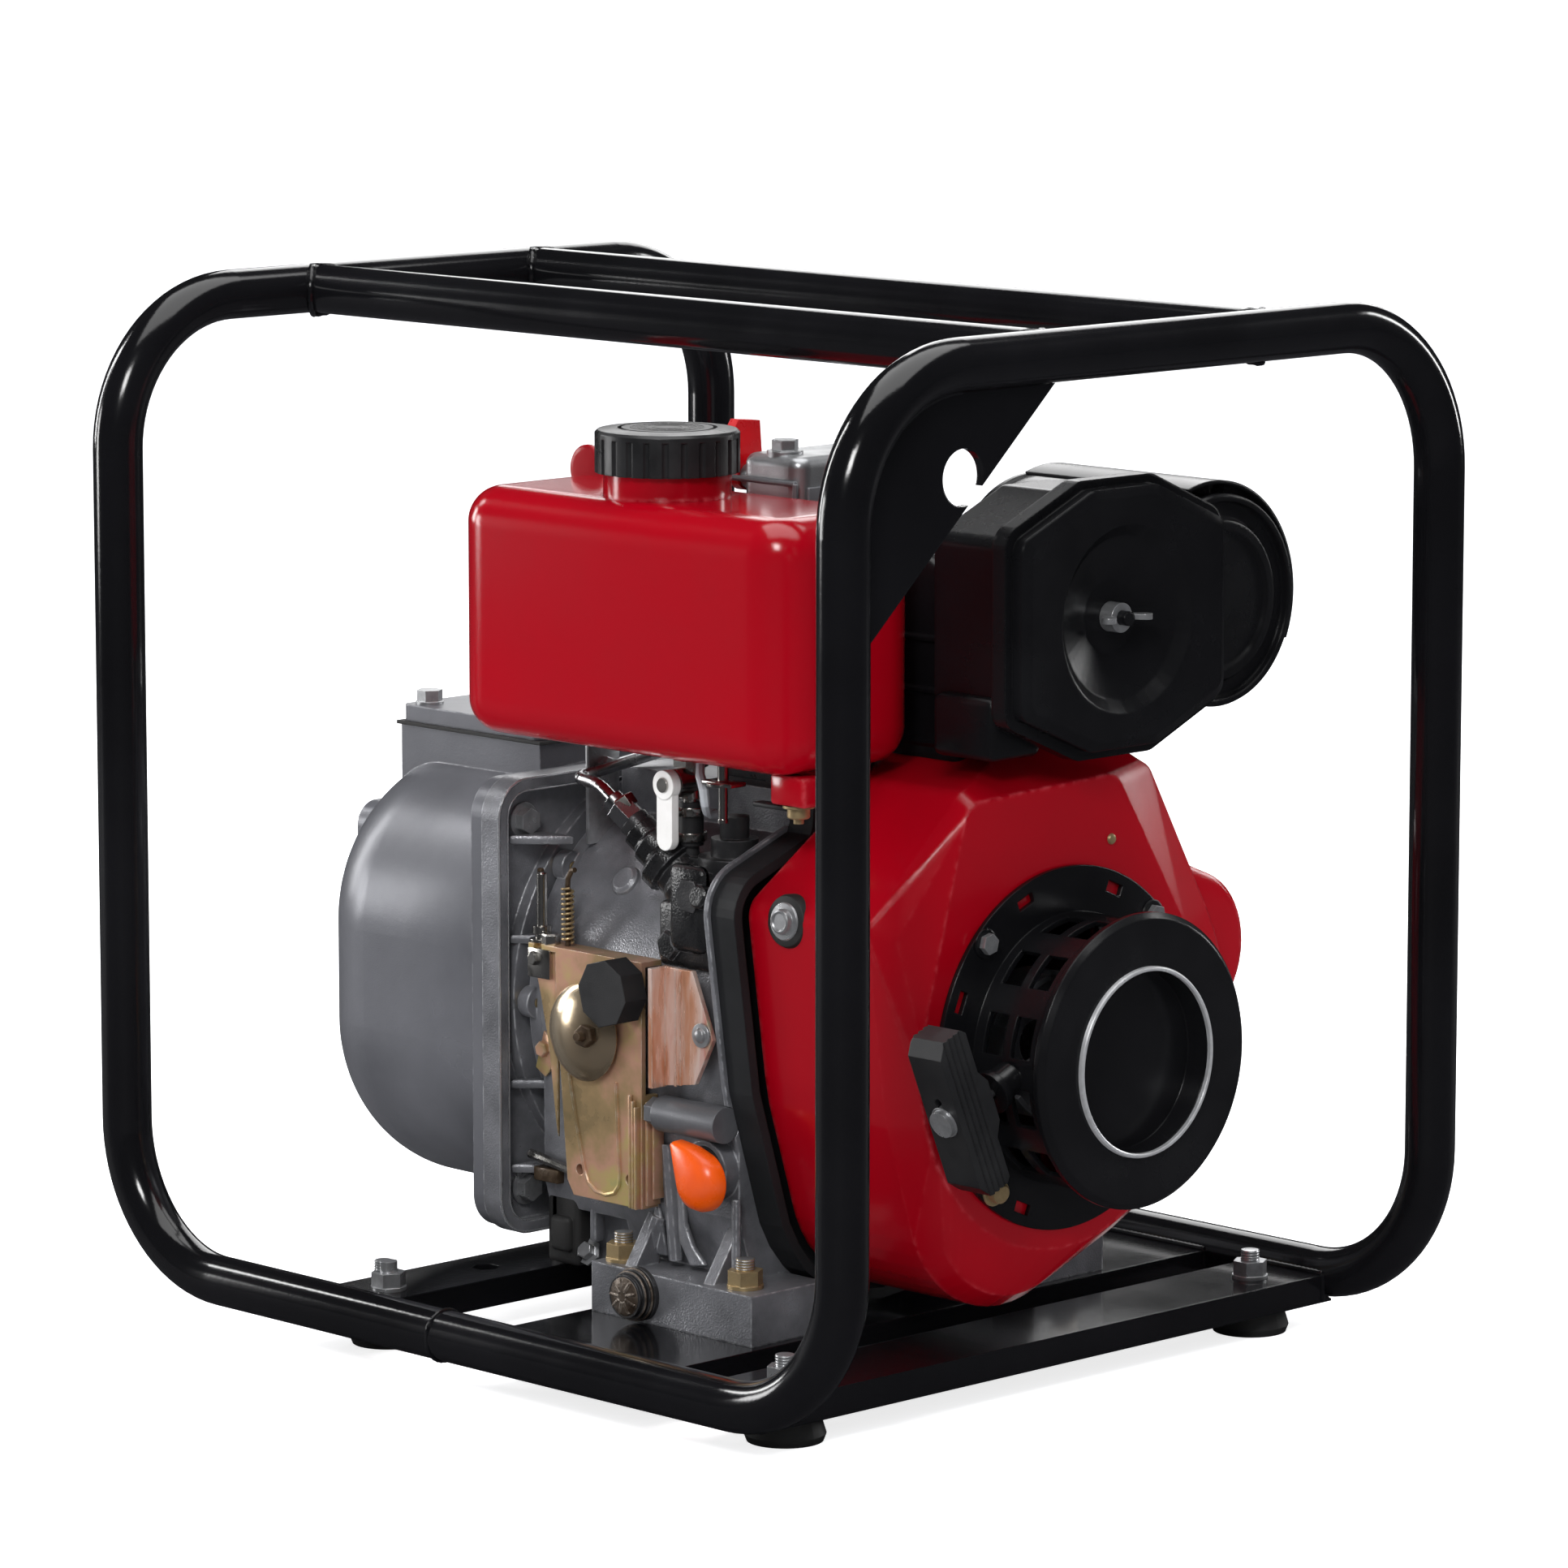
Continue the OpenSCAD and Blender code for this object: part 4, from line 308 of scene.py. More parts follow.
def dress(material, *names):
    for name in names:
        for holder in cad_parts[name].material_slots:
            holder.material = material


frame_black = finish("frame_black", (0.003, 0.003, 0.0034), (0.0055, 0.0055, 0.0065), (0.09, 0.17),
                     drift=7, ripple=420, depth=0.00003, edge=0.0012, wear_and_highlight_amount=0.1, level=0.42,
                     wear_and_highlight_color=(0.05, 0.05, 0.055))
dress(frame_black, "starter_end_hoop", "pump_end_hoop", "top_rails", "lifting_gusset",
      "front_crossmember", "rear_crossmember", "engine_plate")

MM = 0.001


def settle(name, mesh, material, body, crease=32):
    """Ends a piece: sharp where it turns more than crease degrees, riding on body."""
    bmesh.ops.remove_doubles(mesh, verts=mesh.verts, dist=0.002 * MM)
    bmesh.ops.recalc_face_normals(mesh, faces=mesh.faces)
    for edge in mesh.edges:
        edge.smooth = edge.calc_face_angle(0.0) < math.radians(crease)
    for face in mesh.faces:
        face.smooth = True
    data = bpy.data.meshes.new(name)
    mesh.to_mesh(data)
    mesh.free()
    data.materials.append(material)
    piece = bpy.data.objects.new(name, data)
    bpy.context.scene.collection.objects.link(piece)
    if body:
        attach(piece, body)
    return piece


def run(mesh, points, radius, ripple=0.0, closed=False):
    """Adds a rod of the given radius through points, in mm; ripple swells every second point,
    as the pulses of a weld do."""
    line = bpy.data.curves.new("line", "CURVE")
    line.dimensions = "3D"
    line.bevel_depth = radius * MM
    line.bevel_resolution = 2
    line.use_fill_caps = not closed
    spline = line.splines.new("POLY")
    spline.points.add(len(points) - 1)
    spline.use_cyclic_u = closed
    for number, (knot, point) in enumerate(zip(spline.points, points)):
        knot.co = (*(Vector(point) * MM), 1)
        knot.radius = 1 + ripple * (number % 2)
    holder = bpy.data.objects.new("line", line)
    bpy.context.scene.collection.objects.link(holder)
    ready = holder.evaluated_get(bpy.context.evaluated_depsgraph_get())
    laid = bpy.data.meshes.new_from_object(ready)
    mesh.from_mesh(laid)
    bpy.data.objects.remove(holder)
    bpy.data.meshes.remove(laid)
    bpy.data.curves.remove(line)


def circle(centre, first, second, radius, count):
    """Points round a circle, from the direction first towards the direction second."""
    centre, first, second = Vector(centre), Vector(first), Vector(second)
    return [centre + radius * (first * math.cos(at) + second * math.sin(at))
            for at in (2 * math.pi * number / count for number in range(count))]


def along(start, end, step):
    """Points from start to end, about one step apart."""
    start, end = Vector(start), Vector(end)
    count = max(2, round((end - start).length / step))
    return [start.lerp(end, number / count) for number in range(count + 1)]


def block(mesh, low, high, round_by=0.8, steps=2):
    """Adds a box between two corners, in mm, with rounded edges."""
    low, high = Vector(low) * MM, Vector(high) * MM
    corners = bmesh.ops.create_cube(mesh, size=1.0)["verts"]
    bmesh.ops.scale(mesh, vec=high - low, verts=corners)
    bmesh.ops.translate(mesh, vec=(low + high) / 2, verts=corners)
    edges = list({edge for vert in corners for edge in vert.link_edges})
    bmesh.ops.bevel(mesh, geom=edges, offset=round_by * MM, affect="EDGES", segments=steps,
                    profile=0.5, material=-1)


def cut_sheet(mesh, outline, push, round_by=0.4, steps=2):
    """Adds a flat piece: an outline in mm given thickness by push, its edges rounded."""
    sheet = mesh.faces.new([mesh.verts.new(Vector(point) * MM) for point in outline])
    lifted = bmesh.ops.extrude_face_region(mesh, geom=[sheet])["geom"]
    upper = [part for part in lifted if isinstance(part, bmesh.types.BMVert)]
    bmesh.ops.translate(mesh, vec=Vector(push) * MM, verts=upper)
    edges = list({edge for vert in upper for edge in vert.link_edges} | set(sheet.edges))
    bmesh.ops.bevel(mesh, geom=edges, offset=round_by * MM, affect="EDGES", segments=steps,
                    profile=0.5, material=-1)


# The rails meet the hoops in saddle joints, and every joint has a rippled bead round it. The
# cross members and the engine plate are welded to the inside of the skid tubes.
POST_X, RAIL_Y, TOP_Z, TUBE_R = 288, 85, 572.5, 14
BEAD_R = TUBE_R * 1.06
SKID_SEAM_X, SKID_Y, SKID_Z, SKID_INSIDE = -18, 230, 28, 216.4
MEMBER_SPANS = ((165, 222), (-148, -97), (-3, 132))
MEMBER_TOP, MEMBER_LOW = 30.6, 15
GUSSET_BEND, GUSSET_R = Vector((POST_X, -148, 490.5)), 68.2
welds = bmesh.new()
for end in (-1, 1):
    for side in (-1, 1):
        saddle = []
        for number in range(56):
            at = 2 * math.pi * number / 56
            saddle.append((end * (POST_X - TUBE_R * abs(math.cos(at)) - 0.8),
                           side * RAIL_Y + BEAD_R * math.cos(at), TOP_Z + BEAD_R * math.sin(at)))
        run(welds, saddle, 1.5, 0.28, closed=True)
for side in (-1, 1):
    ring = circle((SKID_SEAM_X, side * SKID_Y, SKID_Z), (0, 1, 0), (0, 0, 1), TUBE_R + 0.1, 60)
    run(welds, ring, 1.0, 0.3, closed=True)
    inside = side * SKID_INSIDE
    for low_x, high_x in MEMBER_SPANS:
        run(welds, along((low_x, inside, MEMBER_TOP), (high_x, inside, MEMBER_TOP), 1.6), 1.7, 0.25)
        for edge_x in (low_x, high_x):
            run(welds, along((edge_x, inside, MEMBER_LOW), (edge_x, inside, 30), 1.6), 1.3, 0.25)
for face_x in (-2.6, 2.6):
    arc = [GUSSET_BEND + Vector((face_x, GUSSET_R * math.cos(at), GUSSET_R * math.sin(at)))
           for at in [math.radians(90 + 2 * number) for number in range(46)]]
    run(welds, arc, 1.4, 0.25)
# No bead stands out past the box of the whole part.
rest_low, rest_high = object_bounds()
for vert in welds.verts:
    vert.co = Vector([min(max(value, low), high)
                      for value, low, high in zip(vert.co, rest_low, rest_high)])
settle("frame_welds", welds, frame_black, "frame")

# ---- Feet and their bolts
# Moulded rubber buffers under pressed cross members, held by zinc-plated studs. The studs'
# threads follow after the drain plug, and they stand out above the nuts.
rubber = finish("rubber", (0.01, 0.01, 0.01), (0.02, 0.019, 0.018), (0.5, 0.75), drift=30,
                grain=2600, sand=0.7, depth=0.00006)
dress(rubber, "rubber_feet", "pump_rubbers", "cap_gasket", "dipstick_seal")
bolt_zinc = finish("bolt_zinc", (0.52, 0.53, 0.54), (0.3, 0.3, 0.31), (0.24, 0.42), metal=0.8,
                   drift=120, ripple=900, depth=0.00002, edge=0.0005, wear_and_highlight_amount=0.6,
                   wear_and_highlight_color=(0.9, 0.91, 0.92))
dress(bolt_zinc, "foot_bolts", "shroud_bolts", "pump_bolts", "wing_nut", "grip_plug")
nut_brass = finish("nut_brass", (0.56, 0.42, 0.22), (0.36, 0.26, 0.14), (0.28, 0.48), metal=0.75,
                   drift=90, edge=0.0005, wear_and_highlight_amount=0.5, wear_and_highlight_color=(0.8, 0.68, 0.44))
dress(nut_brass, "engine_bolts")


def turn(mesh, profile, centre, axis, steps=36):
    """Adds a turned shape: profile is (radius, distance along axis) in mm."""
    axis = Vector(axis).normalized()
    side = axis.orthogonal().normalized()
    centre = Vector(centre)
    ring = [mesh.verts.new((centre + side * r + axis * h) * MM) for r, h in profile]
    spine = [mesh.edges.new(pair) for pair in zip(ring, ring[1:])]
    bmesh.ops.spin(mesh, geom=ring + spine, cent=centre * MM, axis=axis, angle=2 * math.pi,
                   steps=steps, use_merge=True)


def thread(mesh, centre, axis, radius, start, end, pitch=1.5):
    """Adds the ridges of a thread round a stud, from start to end along its axis."""
    profile = [(radius - 0.3, start)]
    height = start
    while height + pitch <= end:
        profile += [(radius + 0.35, height + pitch / 2), (radius - 0.25, height + pitch)]
        height += pitch
    turn(mesh, profile + [(radius - 1.2, height + 0.1), (0, height + 0.1)], centre, axis, 28)


# ---- Drain plug
# A low domed face with nine worn rays, and two raised rings round the plug behind it, all in
# brown stained steel.
PLUG_X, PLUG_Z = 39, 46
plug_cap = bmesh.new()
turn(plug_cap, [(0, 1.6), (5, 1.9), (9, 1.4), (10.8, 0.2), (10.8, -1), (0, -1)],
     (PLUG_X, -150, PLUG_Z), (0, -1, 0), 48)
for number in range(9):
    at = 2 * math.pi * number / 9 + 0.3
    near, far = ((PLUG_X + reach * math.cos(at), face_y, PLUG_Z + reach * math.sin(at))
                 for reach, face_y in ((3, -151.5), (10, -151)))
    run(plug_cap, along(near, far, 3), 0.9)
for back, wide in ((142.4, 14.2), (146.2, 13)):
    ring = circle((PLUG_X, -back, PLUG_Z), (1, 0, 0), (0, 0, 1), wide, 48)
    run(plug_cap, ring, 0.7, closed=True)
plug_brown = finish("plug_brown", (0.05, 0.032, 0.022), (0.14, 0.11, 0.085), (0.22, 0.45), metal=0.5,
                    drift=130, ripple=600, depth=0.0003, edge=0.0008, wear_and_highlight_amount=0.8, wear_and_highlight_color=(0.5, 0.44, 0.38))
settle("drain_plug_face", plug_cap, plug_brown, "frame")
studs = bmesh.new()
for stud_xs, stud_y, thread_low in (((197.5, -122.5), 182.5, 40), ((11, 107), 124, 68)):
    for x in stud_xs:
        for side in (-1, 1):
            thread(studs, (x, side * stud_y, 0), (0, 0, 1), 5, thread_low, thread_low + 6.1)
settle("stud_threads", studs, bolt_zinc, "frame")

# ---- Crankcase and cylinder
# Sand-cast aluminium: grainy faces, ribs that stiffen the feet and the adapter, machined bosses.
cast_alloy = finish("cast_alloy", (0.27, 0.272, 0.29), (0.09, 0.092, 0.1), (0.24, 0.44),
                    metal=0.45, drift=24, grain=1100, ripple=500, sand=0.6, depth=0.00022,
                    edge=0.0016, wear_and_highlight_amount=0.9, wear_and_highlight_color=(0.62, 0.63, 0.65))
dress(cast_alloy, "crankcase", "crankcase_cover", "pump_flange")
head_alloy = finish("head_alloy", (0.36, 0.365, 0.375), (0.25, 0.255, 0.265), (0.3, 0.5),
                    metal=0.85, drift=30, grain=1200, ripple=500, sand=0.5, depth=0.0001,
                    edge=0.0012, wear_and_highlight_amount=0.6, wear_and_highlight_color=(0.66, 0.67, 0.68))
dress(head_alloy, "cylinder_head", "rocker_cover")
FRONT = -116  # the crankcase's face under the tank
ribs = bmesh.new()
run(ribs, along((38, FRONT, 126), (44.5, FRONT, 62), 12), 4.2)
run(ribs, along((30, FRONT + 1, 84), (24, FRONT - 3, 62), 12), 4.8)
cut_sheet(ribs, [(47, FRONT + 1, 104), (52, FRONT + 1, 104), (54, FRONT + 1, 84),
                 (60, FRONT + 1, 72), (70, FRONT + 1, 63), (58, FRONT + 1, 61), (49, FRONT + 1, 74)],
          (0, -4, 0), 1.4)
run(ribs, along((96, FRONT - 4, 104), (100, FRONT - 8, 66), 10), 2.6)
block(ribs, (-60, -113, 62), (-54, -104, 92), 1.5)
block(ribs, (-30, -112, 60), (-25, -104, 90), 1.5)
turn(ribs, [(0, 5), (6.5, 5), (8.6, 3.6), (9.6, 0), (10.5, -9), (0, -9)], (-19, -92, 261),
     (0, -1, 0.75), 40)
turn(ribs, [(0, 3.4), (5, 3.4), (6.6, 2), (7, -8), (0, -8)], (-52, -113, 214), (0, -1, 0.3), 36)
cut_sheet(ribs, [(-8, -112, 219), (20, -113, 219), (17, -104, 236), (3, -96, 249)], (0, 14, 0), 2, 3)
for rise in (278, 222, 140, 92):
    cut_sheet(ribs, [(-84, -122, rise), (-84, -96, rise), (-58, -96, rise)], (0, 0, 5), 1.2)
cut_sheet(ribs, [(24, FRONT + 2, 63), (24, FRONT + 2, 76), (30, FRONT + 2, 96), (38, FRONT + 2, 63)],
          (0, -3, 0), 1.2)
settle("crankcase_ribs", ribs, cast_alloy, "frame")

# The pump's adapter plate has a skimmed edge on the side of the engine, in two steps.
machined = finish("machined", (0.62, 0.63, 0.65), (0.4, 0.405, 0.42), (0.2, 0.34), metal=0.75,
                  drift=60, stretch=0.2, edge=0.0006)
RIM_Y, RIM_Z, RIM_CORNER = 132.2, 128.2, 21
rims = bmesh.new()
rim_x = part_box("pump_flange")[1].x / MM
rim_z = (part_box("pump_flange")[0].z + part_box("pump_flange")[1].z) / 2 / MM
for inset, thick in ((0, 0.9), (6.6, 0.6)):
    half_y, half_z, round_r = RIM_Y - inset, RIM_Z - inset, RIM_CORNER - inset
    path = []
    for quarter, (side_y, side_z) in enumerate(((1, 1), (-1, 1), (-1, -1), (1, -1))):
        for step in range(9):
            at = math.pi / 2 * (quarter + step / 8)
            path.append((rim_x - 0.4, side_y * (half_y - round_r) + round_r * math.cos(at),
                         rim_z + side_z * (half_z - round_r) + round_r * math.sin(at)))
    run(rims, path, thick, closed=True)
settle("adapter_machined_rim", rims, machined, "frame")
dark_alloy = finish("dark_alloy", (0.022, 0.022, 0.024), (0.045, 0.044, 0.045), (0.24, 0.5),
                    metal=0.4, drift=40, grain=900, sand=0.7, depth=0.00012, edge=0.001, wear_and_highlight_amount=0.5,
                    wear_and_highlight_color=(0.25, 0.25, 0.26))
dress(dark_alloy, "cylinder_barrel", "injection_pump", "drain_plug", "starter_pulley")
grey_alloy = finish("grey_alloy", (0.16, 0.162, 0.172), (0.11, 0.112, 0.12), (0.3, 0.5),
                    metal=0.5, drift=40, grain=1200, sand=0.5, depth=0.0001, edge=0.001, wear_and_highlight_amount=0.5,
                    wear_and_highlight_color=(0.4, 0.4, 0.42))
dress(grey_alloy, "oil_screen_housing", "starter_cup")

# ---- Water pump
# Die-cast volute casing with a bolted lid and a suction flange, its edges rubbed paler.
pump_cast = finish("pump_cast", (0.17, 0.172, 0.188), (0.095, 0.097, 0.108), (0.24, 0.38),
                   metal=0.3, drift=8, grain=1400, ripple=380, sand=0.45, depth=0.00007,
                   edge=0.0014, wear_and_highlight_amount=0.6, wear_and_highlight_color=(0.5, 0.5, 0.52))
dress(pump_cast, "pump_casing", "impeller", "pump_volute", "discharge_flange", "suction_flange")
lid_washers = bmesh.new()
lid_z = min(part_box("pump_casing")[1].z / MM, 334.5)
for side_x in (-232, -136):
    for side_y in (-48, 48):
        turn(lid_washers, [(5, 1.6), (10.6, 1.5), (11.2, 0.8), (11.2, 0.1), (5, 0.1)],
             (side_x, side_y, lid_z), (0, 0, 1), 40)
settle("lid_washers", lid_washers, bolt_zinc, "frame")
shaft_steel = finish("shaft_steel", (0.5, 0.5, 0.51), (0.34, 0.34, 0.35), (0.16, 0.34), metal=1,
                     drift=60, stretch=0.1, ripple=900, depth=0.00001)
dress(shaft_steel, "crankshaft", "main_bearings", "injector_pipe")

# ---- Blower and its housing
# A cast flywheel with blades, in a deep drawn red enamelled scroll on a dark grey dished
# plate. A bolt with a rubber washer holds the scroll's side, and a small screw its face.
fan_cast = finish("fan_cast", (0.12, 0.12, 0.125), (0.18, 0.18, 0.19), (0.35, 0.6), metal=0.7,
                  grain=900, sand=0.6, depth=0.0001)
dress(fan_cast, "flywheel_blower")
# The pale red that the edge mask lays along the shroud's and tank's edges and creases is a painted
# highlight.
gloss_red = finish("gloss_red", (0.31, 0.0005, 0.0065), (0.25, 0.0004, 0.005), (0.12, 0.2),
                   coat=0.15, drift=4, ripple=240, depth=0.00003, edge=0.004, wear_and_highlight_amount=0.5,
                   wear_and_highlight_color=(0.7, 0.1, 0.12), level=0.38)
dress(gloss_red, "blower_shroud", "fuel_tank", "tank_brackets")
lever_red = finish("lever_red", (0.6, 0.003, 0.008), (0.5, 0.002, 0.006), (0.2, 0.32), drift=60,
                   edge=0.0012)
dress(lever_red, "decompression_lever")
sheet_black = finish("sheet_black", (0.0035, 0.0035, 0.004), (0.0065, 0.0065, 0.0075), (0.2, 0.32),
                     drift=14, ripple=500, depth=0.00003, edge=0.002, level=0.24)
dress(sheet_black, "filter_housing", "filter_cover", "muffler", "heat_shield")
plate_grey = finish("plate_grey", (0.017, 0.0175, 0.019), (0.01, 0.0105, 0.0115), (0.42, 0.6),
                    drift=18, ripple=500, depth=0.00003, edge=0.0012, level=0.3)
dress(plate_grey, "blower_backplate")

SIDE_BOLT, SIDE_BOLT_AXIS = (140, -124, 263), (0, -1, 0.08)
shroud_bolt = bmesh.new()
turn(shroud_bolt, [(0, 6.4), (4.4, 6.4), (5.4, 7.2), (6.4, 6.6), (6.8, 5.4), (7, 3.8), (9.8, 3.6),
                   (10.4, 2.8), (10.4, 2.0), (0, 2.0)], SIDE_BOLT, SIDE_BOLT_AXIS, 36)
settle("shroud_side_bolt", shroud_bolt, bolt_zinc, "frame")
shroud_screw = bmesh.new()
turn(shroud_screw, [(0, 1.7), (1.3, 1.6), (2.5, 1.1), (3.0, 0.3), (3.0, -0.8), (0, -0.8)],
     (226.2, 35.5, 299.4), (1, 0, 0), 24)
settle("shroud_face_screw", shroud_screw, nut_brass, "frame")
shroud_washer = bmesh.new()
turn(shroud_washer, [(5, 2.2), (11, 2.8), (13.6, 1.8), (14.6, -0.6), (14.6, -6), (5, -6), (5, 2.2)],
     SIDE_BOLT, SIDE_BOLT_AXIS, 48)
settle("shroud_side_washer", shroud_washer, rubber, "frame")

# ---- Recoil starter
# Pressed steel cup in gloss black, screwed to the scroll; bright trim ring, grooved pull grip.
# The rope runs from its guide to the grip.
starter_black = finish("starter_black", (0.0035, 0.0035, 0.004), (0.0065, 0.0065, 0.0075),
                       (0.18, 0.3), drift=16, ripple=500, depth=0.00003, edge=0.0014, level=0.4)
dress(starter_black, "starter_housing")
STARTER_FACE, COVER_SCREW = 229, (229, -58, 120)
WASHER = [(4, 1.5), (7.6, 1.4), (8.2, 0.9), (8.2, 0.1), (4, 0.1)]
washers = bmesh.new()
brass_washer = bmesh.new()
for side, height in ((-65, 255), (65, 255), (65, 125)):
    turn(washers, WASHER, (STARTER_FACE, side, height), (1, 0, 0), 32)
turn(brass_washer, WASHER, COVER_SCREW, (1, 0, 0), 32)
turn(brass_washer, [(0, 8.6), (3.6, 8.6), (4.6, 7.8), (5.2, 6.6), (5.9, 6.4), (6.2, 5.4),
                    (6.2, 1.6), (4, 1.5)], COVER_SCREW, (1, 0, 0), 24)
settle("starter_washers", washers, starter_black, "frame")
settle("starter_lower_screw_cover", brass_washer, nut_brass, "frame")
black_plastic = finish("black_plastic", (0.009, 0.009, 0.01), (0.016, 0.016, 0.017), (0.36, 0.55),
                       drift=40, grain=2200, sand=0.8, depth=0.00006, edge=0.0008)
dress(black_plastic, "starter_grip", "fuel_hose", "lever_knob")
ring_bright = finish("ring_bright", (0.66, 0.67, 0.68), (0.46, 0.46, 0.47), (0.26, 0.42),
                     metal=0.6, drift=140, ripple=900, depth=0.00004, edge=0.0008, wear_and_highlight_amount=0.5,
                     wear_and_highlight_color=(0.85, 0.85, 0.86))
dress(ring_bright, "starter_ring")
lip = bmesh.new()
face_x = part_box("starter_housing")[1].x / MM
crank_height = (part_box("starter_ring")[0].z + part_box("starter_ring")[1].z) / 2 / MM
turn(lip, [(49.2, -13), (51.6, -13), (51.6, 1.4), (51, 2.4), (50, 2.6), (49.2, 2.2), (49.2, -13)],
     (face_x, 0, crank_height), (1, 0, 0), 96)
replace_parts(settle("starter_ring_lip", lip, ring_bright, "frame"), "starter_ring")
rope_black = finish("rope", (0.02, 0.02, 0.022), (0.04, 0.04, 0.042), (0.6, 0.8), drift=300)
dress(rope_black, "starter_rope")
rope = bmesh.new()
rope_low, rope_high = (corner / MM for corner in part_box("starter_rope"))
rope_x = (rope_low.x + rope_high.x) / 2
rope_z = rope_low.z + 2.6
grip_back = rope_low.y + 0.4  # where the rope enters the grip
eye_y = rope_low.y + 9  # where it leaves the guide
run(rope, along((rope_x, rope_high.y - 1, rope_high.z - 3), (rope_x, eye_y, rope_z), 6)
    + along((rope_x, eye_y, rope_z), (rope_x, grip_back, rope_z), 0.25)[1:], 2.4)
rope = settle("starter_rope_run", rope, rope_black, None)
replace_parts(rope, "starter_rope")
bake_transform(rope)

# ---- Tank straps
# Two folded steel straps carry the tank: a zinc-plated one on the crankcase, a red one on the
# blower's plate with a lug and nut at the tank's front corner.
low_x, _, low_z = (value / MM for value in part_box("tank_brackets")[0])
high_x, _, high_z = (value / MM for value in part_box("tank_brackets")[1])
grey_strap = bmesh.new()
block(grey_strap, (low_x, -86, high_z - 3), (low_x + 33, -62, high_z), 1.0)
block(grey_strap, (low_x + 30, -86, low_z + 6), (low_x + 33, -62, high_z - 1), 1.0)
turn(grey_strap, [(0, 4.6), (4.4, 4.6), (5, 3.8), (5, 0), (0, 0)], (low_x + 33, -74, high_z - 22),
     (1, 0, 0), 6)
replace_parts(settle("tank_strap_grey", grey_strap, bolt_zinc, "frame"), "tank_brackets")
red_strap = bmesh.new()
block(red_strap, (high_x - 28, -76, high_z - 3), (high_x, -56, high_z), 1.0)
block(red_strap, (high_x - 28, -76, low_z + 58), (high_x - 25, -56, high_z - 1), 1.0)
block(red_strap, (132, -130, high_z - 17), (158, -112, high_z - 0.5), 2.0)
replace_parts(settle("tank_strap_red", red_strap, gloss_red, "frame"), "tank_brackets")
lug_nut = bmesh.new()
turn(lug_nut, [(0, 0), (8.6, 0), (8.6, -1.4), (6.2, -1.6), (6.2, -6.4), (5.4, -7.2), (2.8, -7.2),
               (2.8, -10), (0, -10)], (145, -121, high_z - 17), (0, 0, 1), 24)
settle("lug_nut", lug_nut, nut_brass, "frame")
arm = bmesh.new()
block(arm, (112.4, -124, high_z - 21), (141, -116, high_z - 18.4), 0.8)
settle("lug_arm", arm, plate_grey, "frame")

# ---- Filler cap, tap and hoses
# Moulded black cap with a rayed top; plated tap with a white lever, worm clips on its hose and
# a clear overflow hose. The injection pump's black body stands out below them.
cap_black = finish("cap_black", (0.009, 0.009, 0.0095), (0.016, 0.016, 0.017), (0.26, 0.42),
                   drift=50, grain=1800, sand=0.5, depth=0.00005, edge=0.001, level=0.4)
dress(cap_black, "fuel_cap")
cap_rings = bmesh.new()
cap_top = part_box("fuel_cap")[1].z / MM
hub = Vector((22, -100, cap_top - 0.35))
for ring_r in (8, 12, 16, 20):
    run(cap_rings, circle(hub, (1, 0, 0), (0, 1, 0), ring_r, 48), 0.6, closed=True)
for ray in zip(circle(hub, (1, 0, 0), (0, 1, 0), 12, 24), circle(hub, (1, 0, 0), (0, 1, 0), 20, 24)):
    run(cap_rings, ray, 0.5)
settle("cap_top_rings", cap_rings, cap_black, "filler_cap")
white_plastic = finish("white_plastic", (0.8, 0.79, 0.77), (0.7, 0.69, 0.66), (0.3, 0.45),
                       drift=70, edge=0.001)
dress(white_plastic, "tap_lever")
tap_metal = finish("tap_metal", (0.62, 0.6, 0.56), (0.45, 0.44, 0.42), (0.14, 0.3), metal=1,
                   drift=90, edge=0.0006, wear_and_highlight_amount=0.4, wear_and_highlight_color=(0.8, 0.79, 0.76))
dress(tap_metal, "fuel_tap")

TAP_X, TAP_Y = 40, -100
clips = bmesh.new()
for height in (292.5, 306.5):
    turn(clips, [(8.1, 0), (8.7, 0), (8.9, 0.6), (8.9, 4.2), (8.7, 4.8), (8.1, 4.8), (8.1, 0)],
         (TAP_X, TAP_Y, height), (0, 0, 1), 40)
    block(clips, (TAP_X - 3, TAP_Y - 13, height + 0.4), (TAP_X + 3, TAP_Y - 8, height + 4.4), 0.6)
    turn(clips, [(0, 9), (2.4, 8.7), (2.8, 7.8), (2.8, 6.6), (0, 6.6)],
         (TAP_X - 3.5, TAP_Y - 10.5, height + 2.4), (-1, 0, 0), 20)
turn(clips, [(0, 0), (3, 0), (3, 2), (2.6, 2.3), (2.6, 20), (3.6, 20.2), (9, 20.4), (9, 22),
             (3, 22.2), (3, 34)], (84, -118, 309), (0, 0, 1), 24)
block(clips, (73, -124, 329.4), (96, -112, 332), 0.8)
turn(clips, [(0, 7), (6, 7), (7, 6), (7, 0), (0, 0)], (-2, -108, 306), (-0.44, -0.18, 0.62), 6)
settle("hose_clips", clips, tap_metal, "frame")
clear_hose = finish("clear_hose", (0.42, 0.44, 0.46), (0.3, 0.31, 0.33), (0.14, 0.24), coat=0.4,
                    drift=60)
overflow = bmesh.new()
run(overflow, [(58, -104, 342), (60, -112, 338), (67, -119, 333), (72, -121, 326), (71, -119, 318),
               (66, -113, 313), (60, -106, 310), (58, -98, 309)], 2.7)
settle("overflow_hose", overflow, clear_hose, "frame")
pump_black = finish("pump_black", (0.006, 0.006, 0.0065), (0.014, 0.014, 0.015), (0.18, 0.42),
                    drift=55, grain=900, ripple=260, sand=0.4, depth=0.0004, edge=0.0012,
                    wear_and_highlight_amount=0.5, wear_and_highlight_color=(0.3, 0.3, 0.31))
pump_body = bmesh.new()
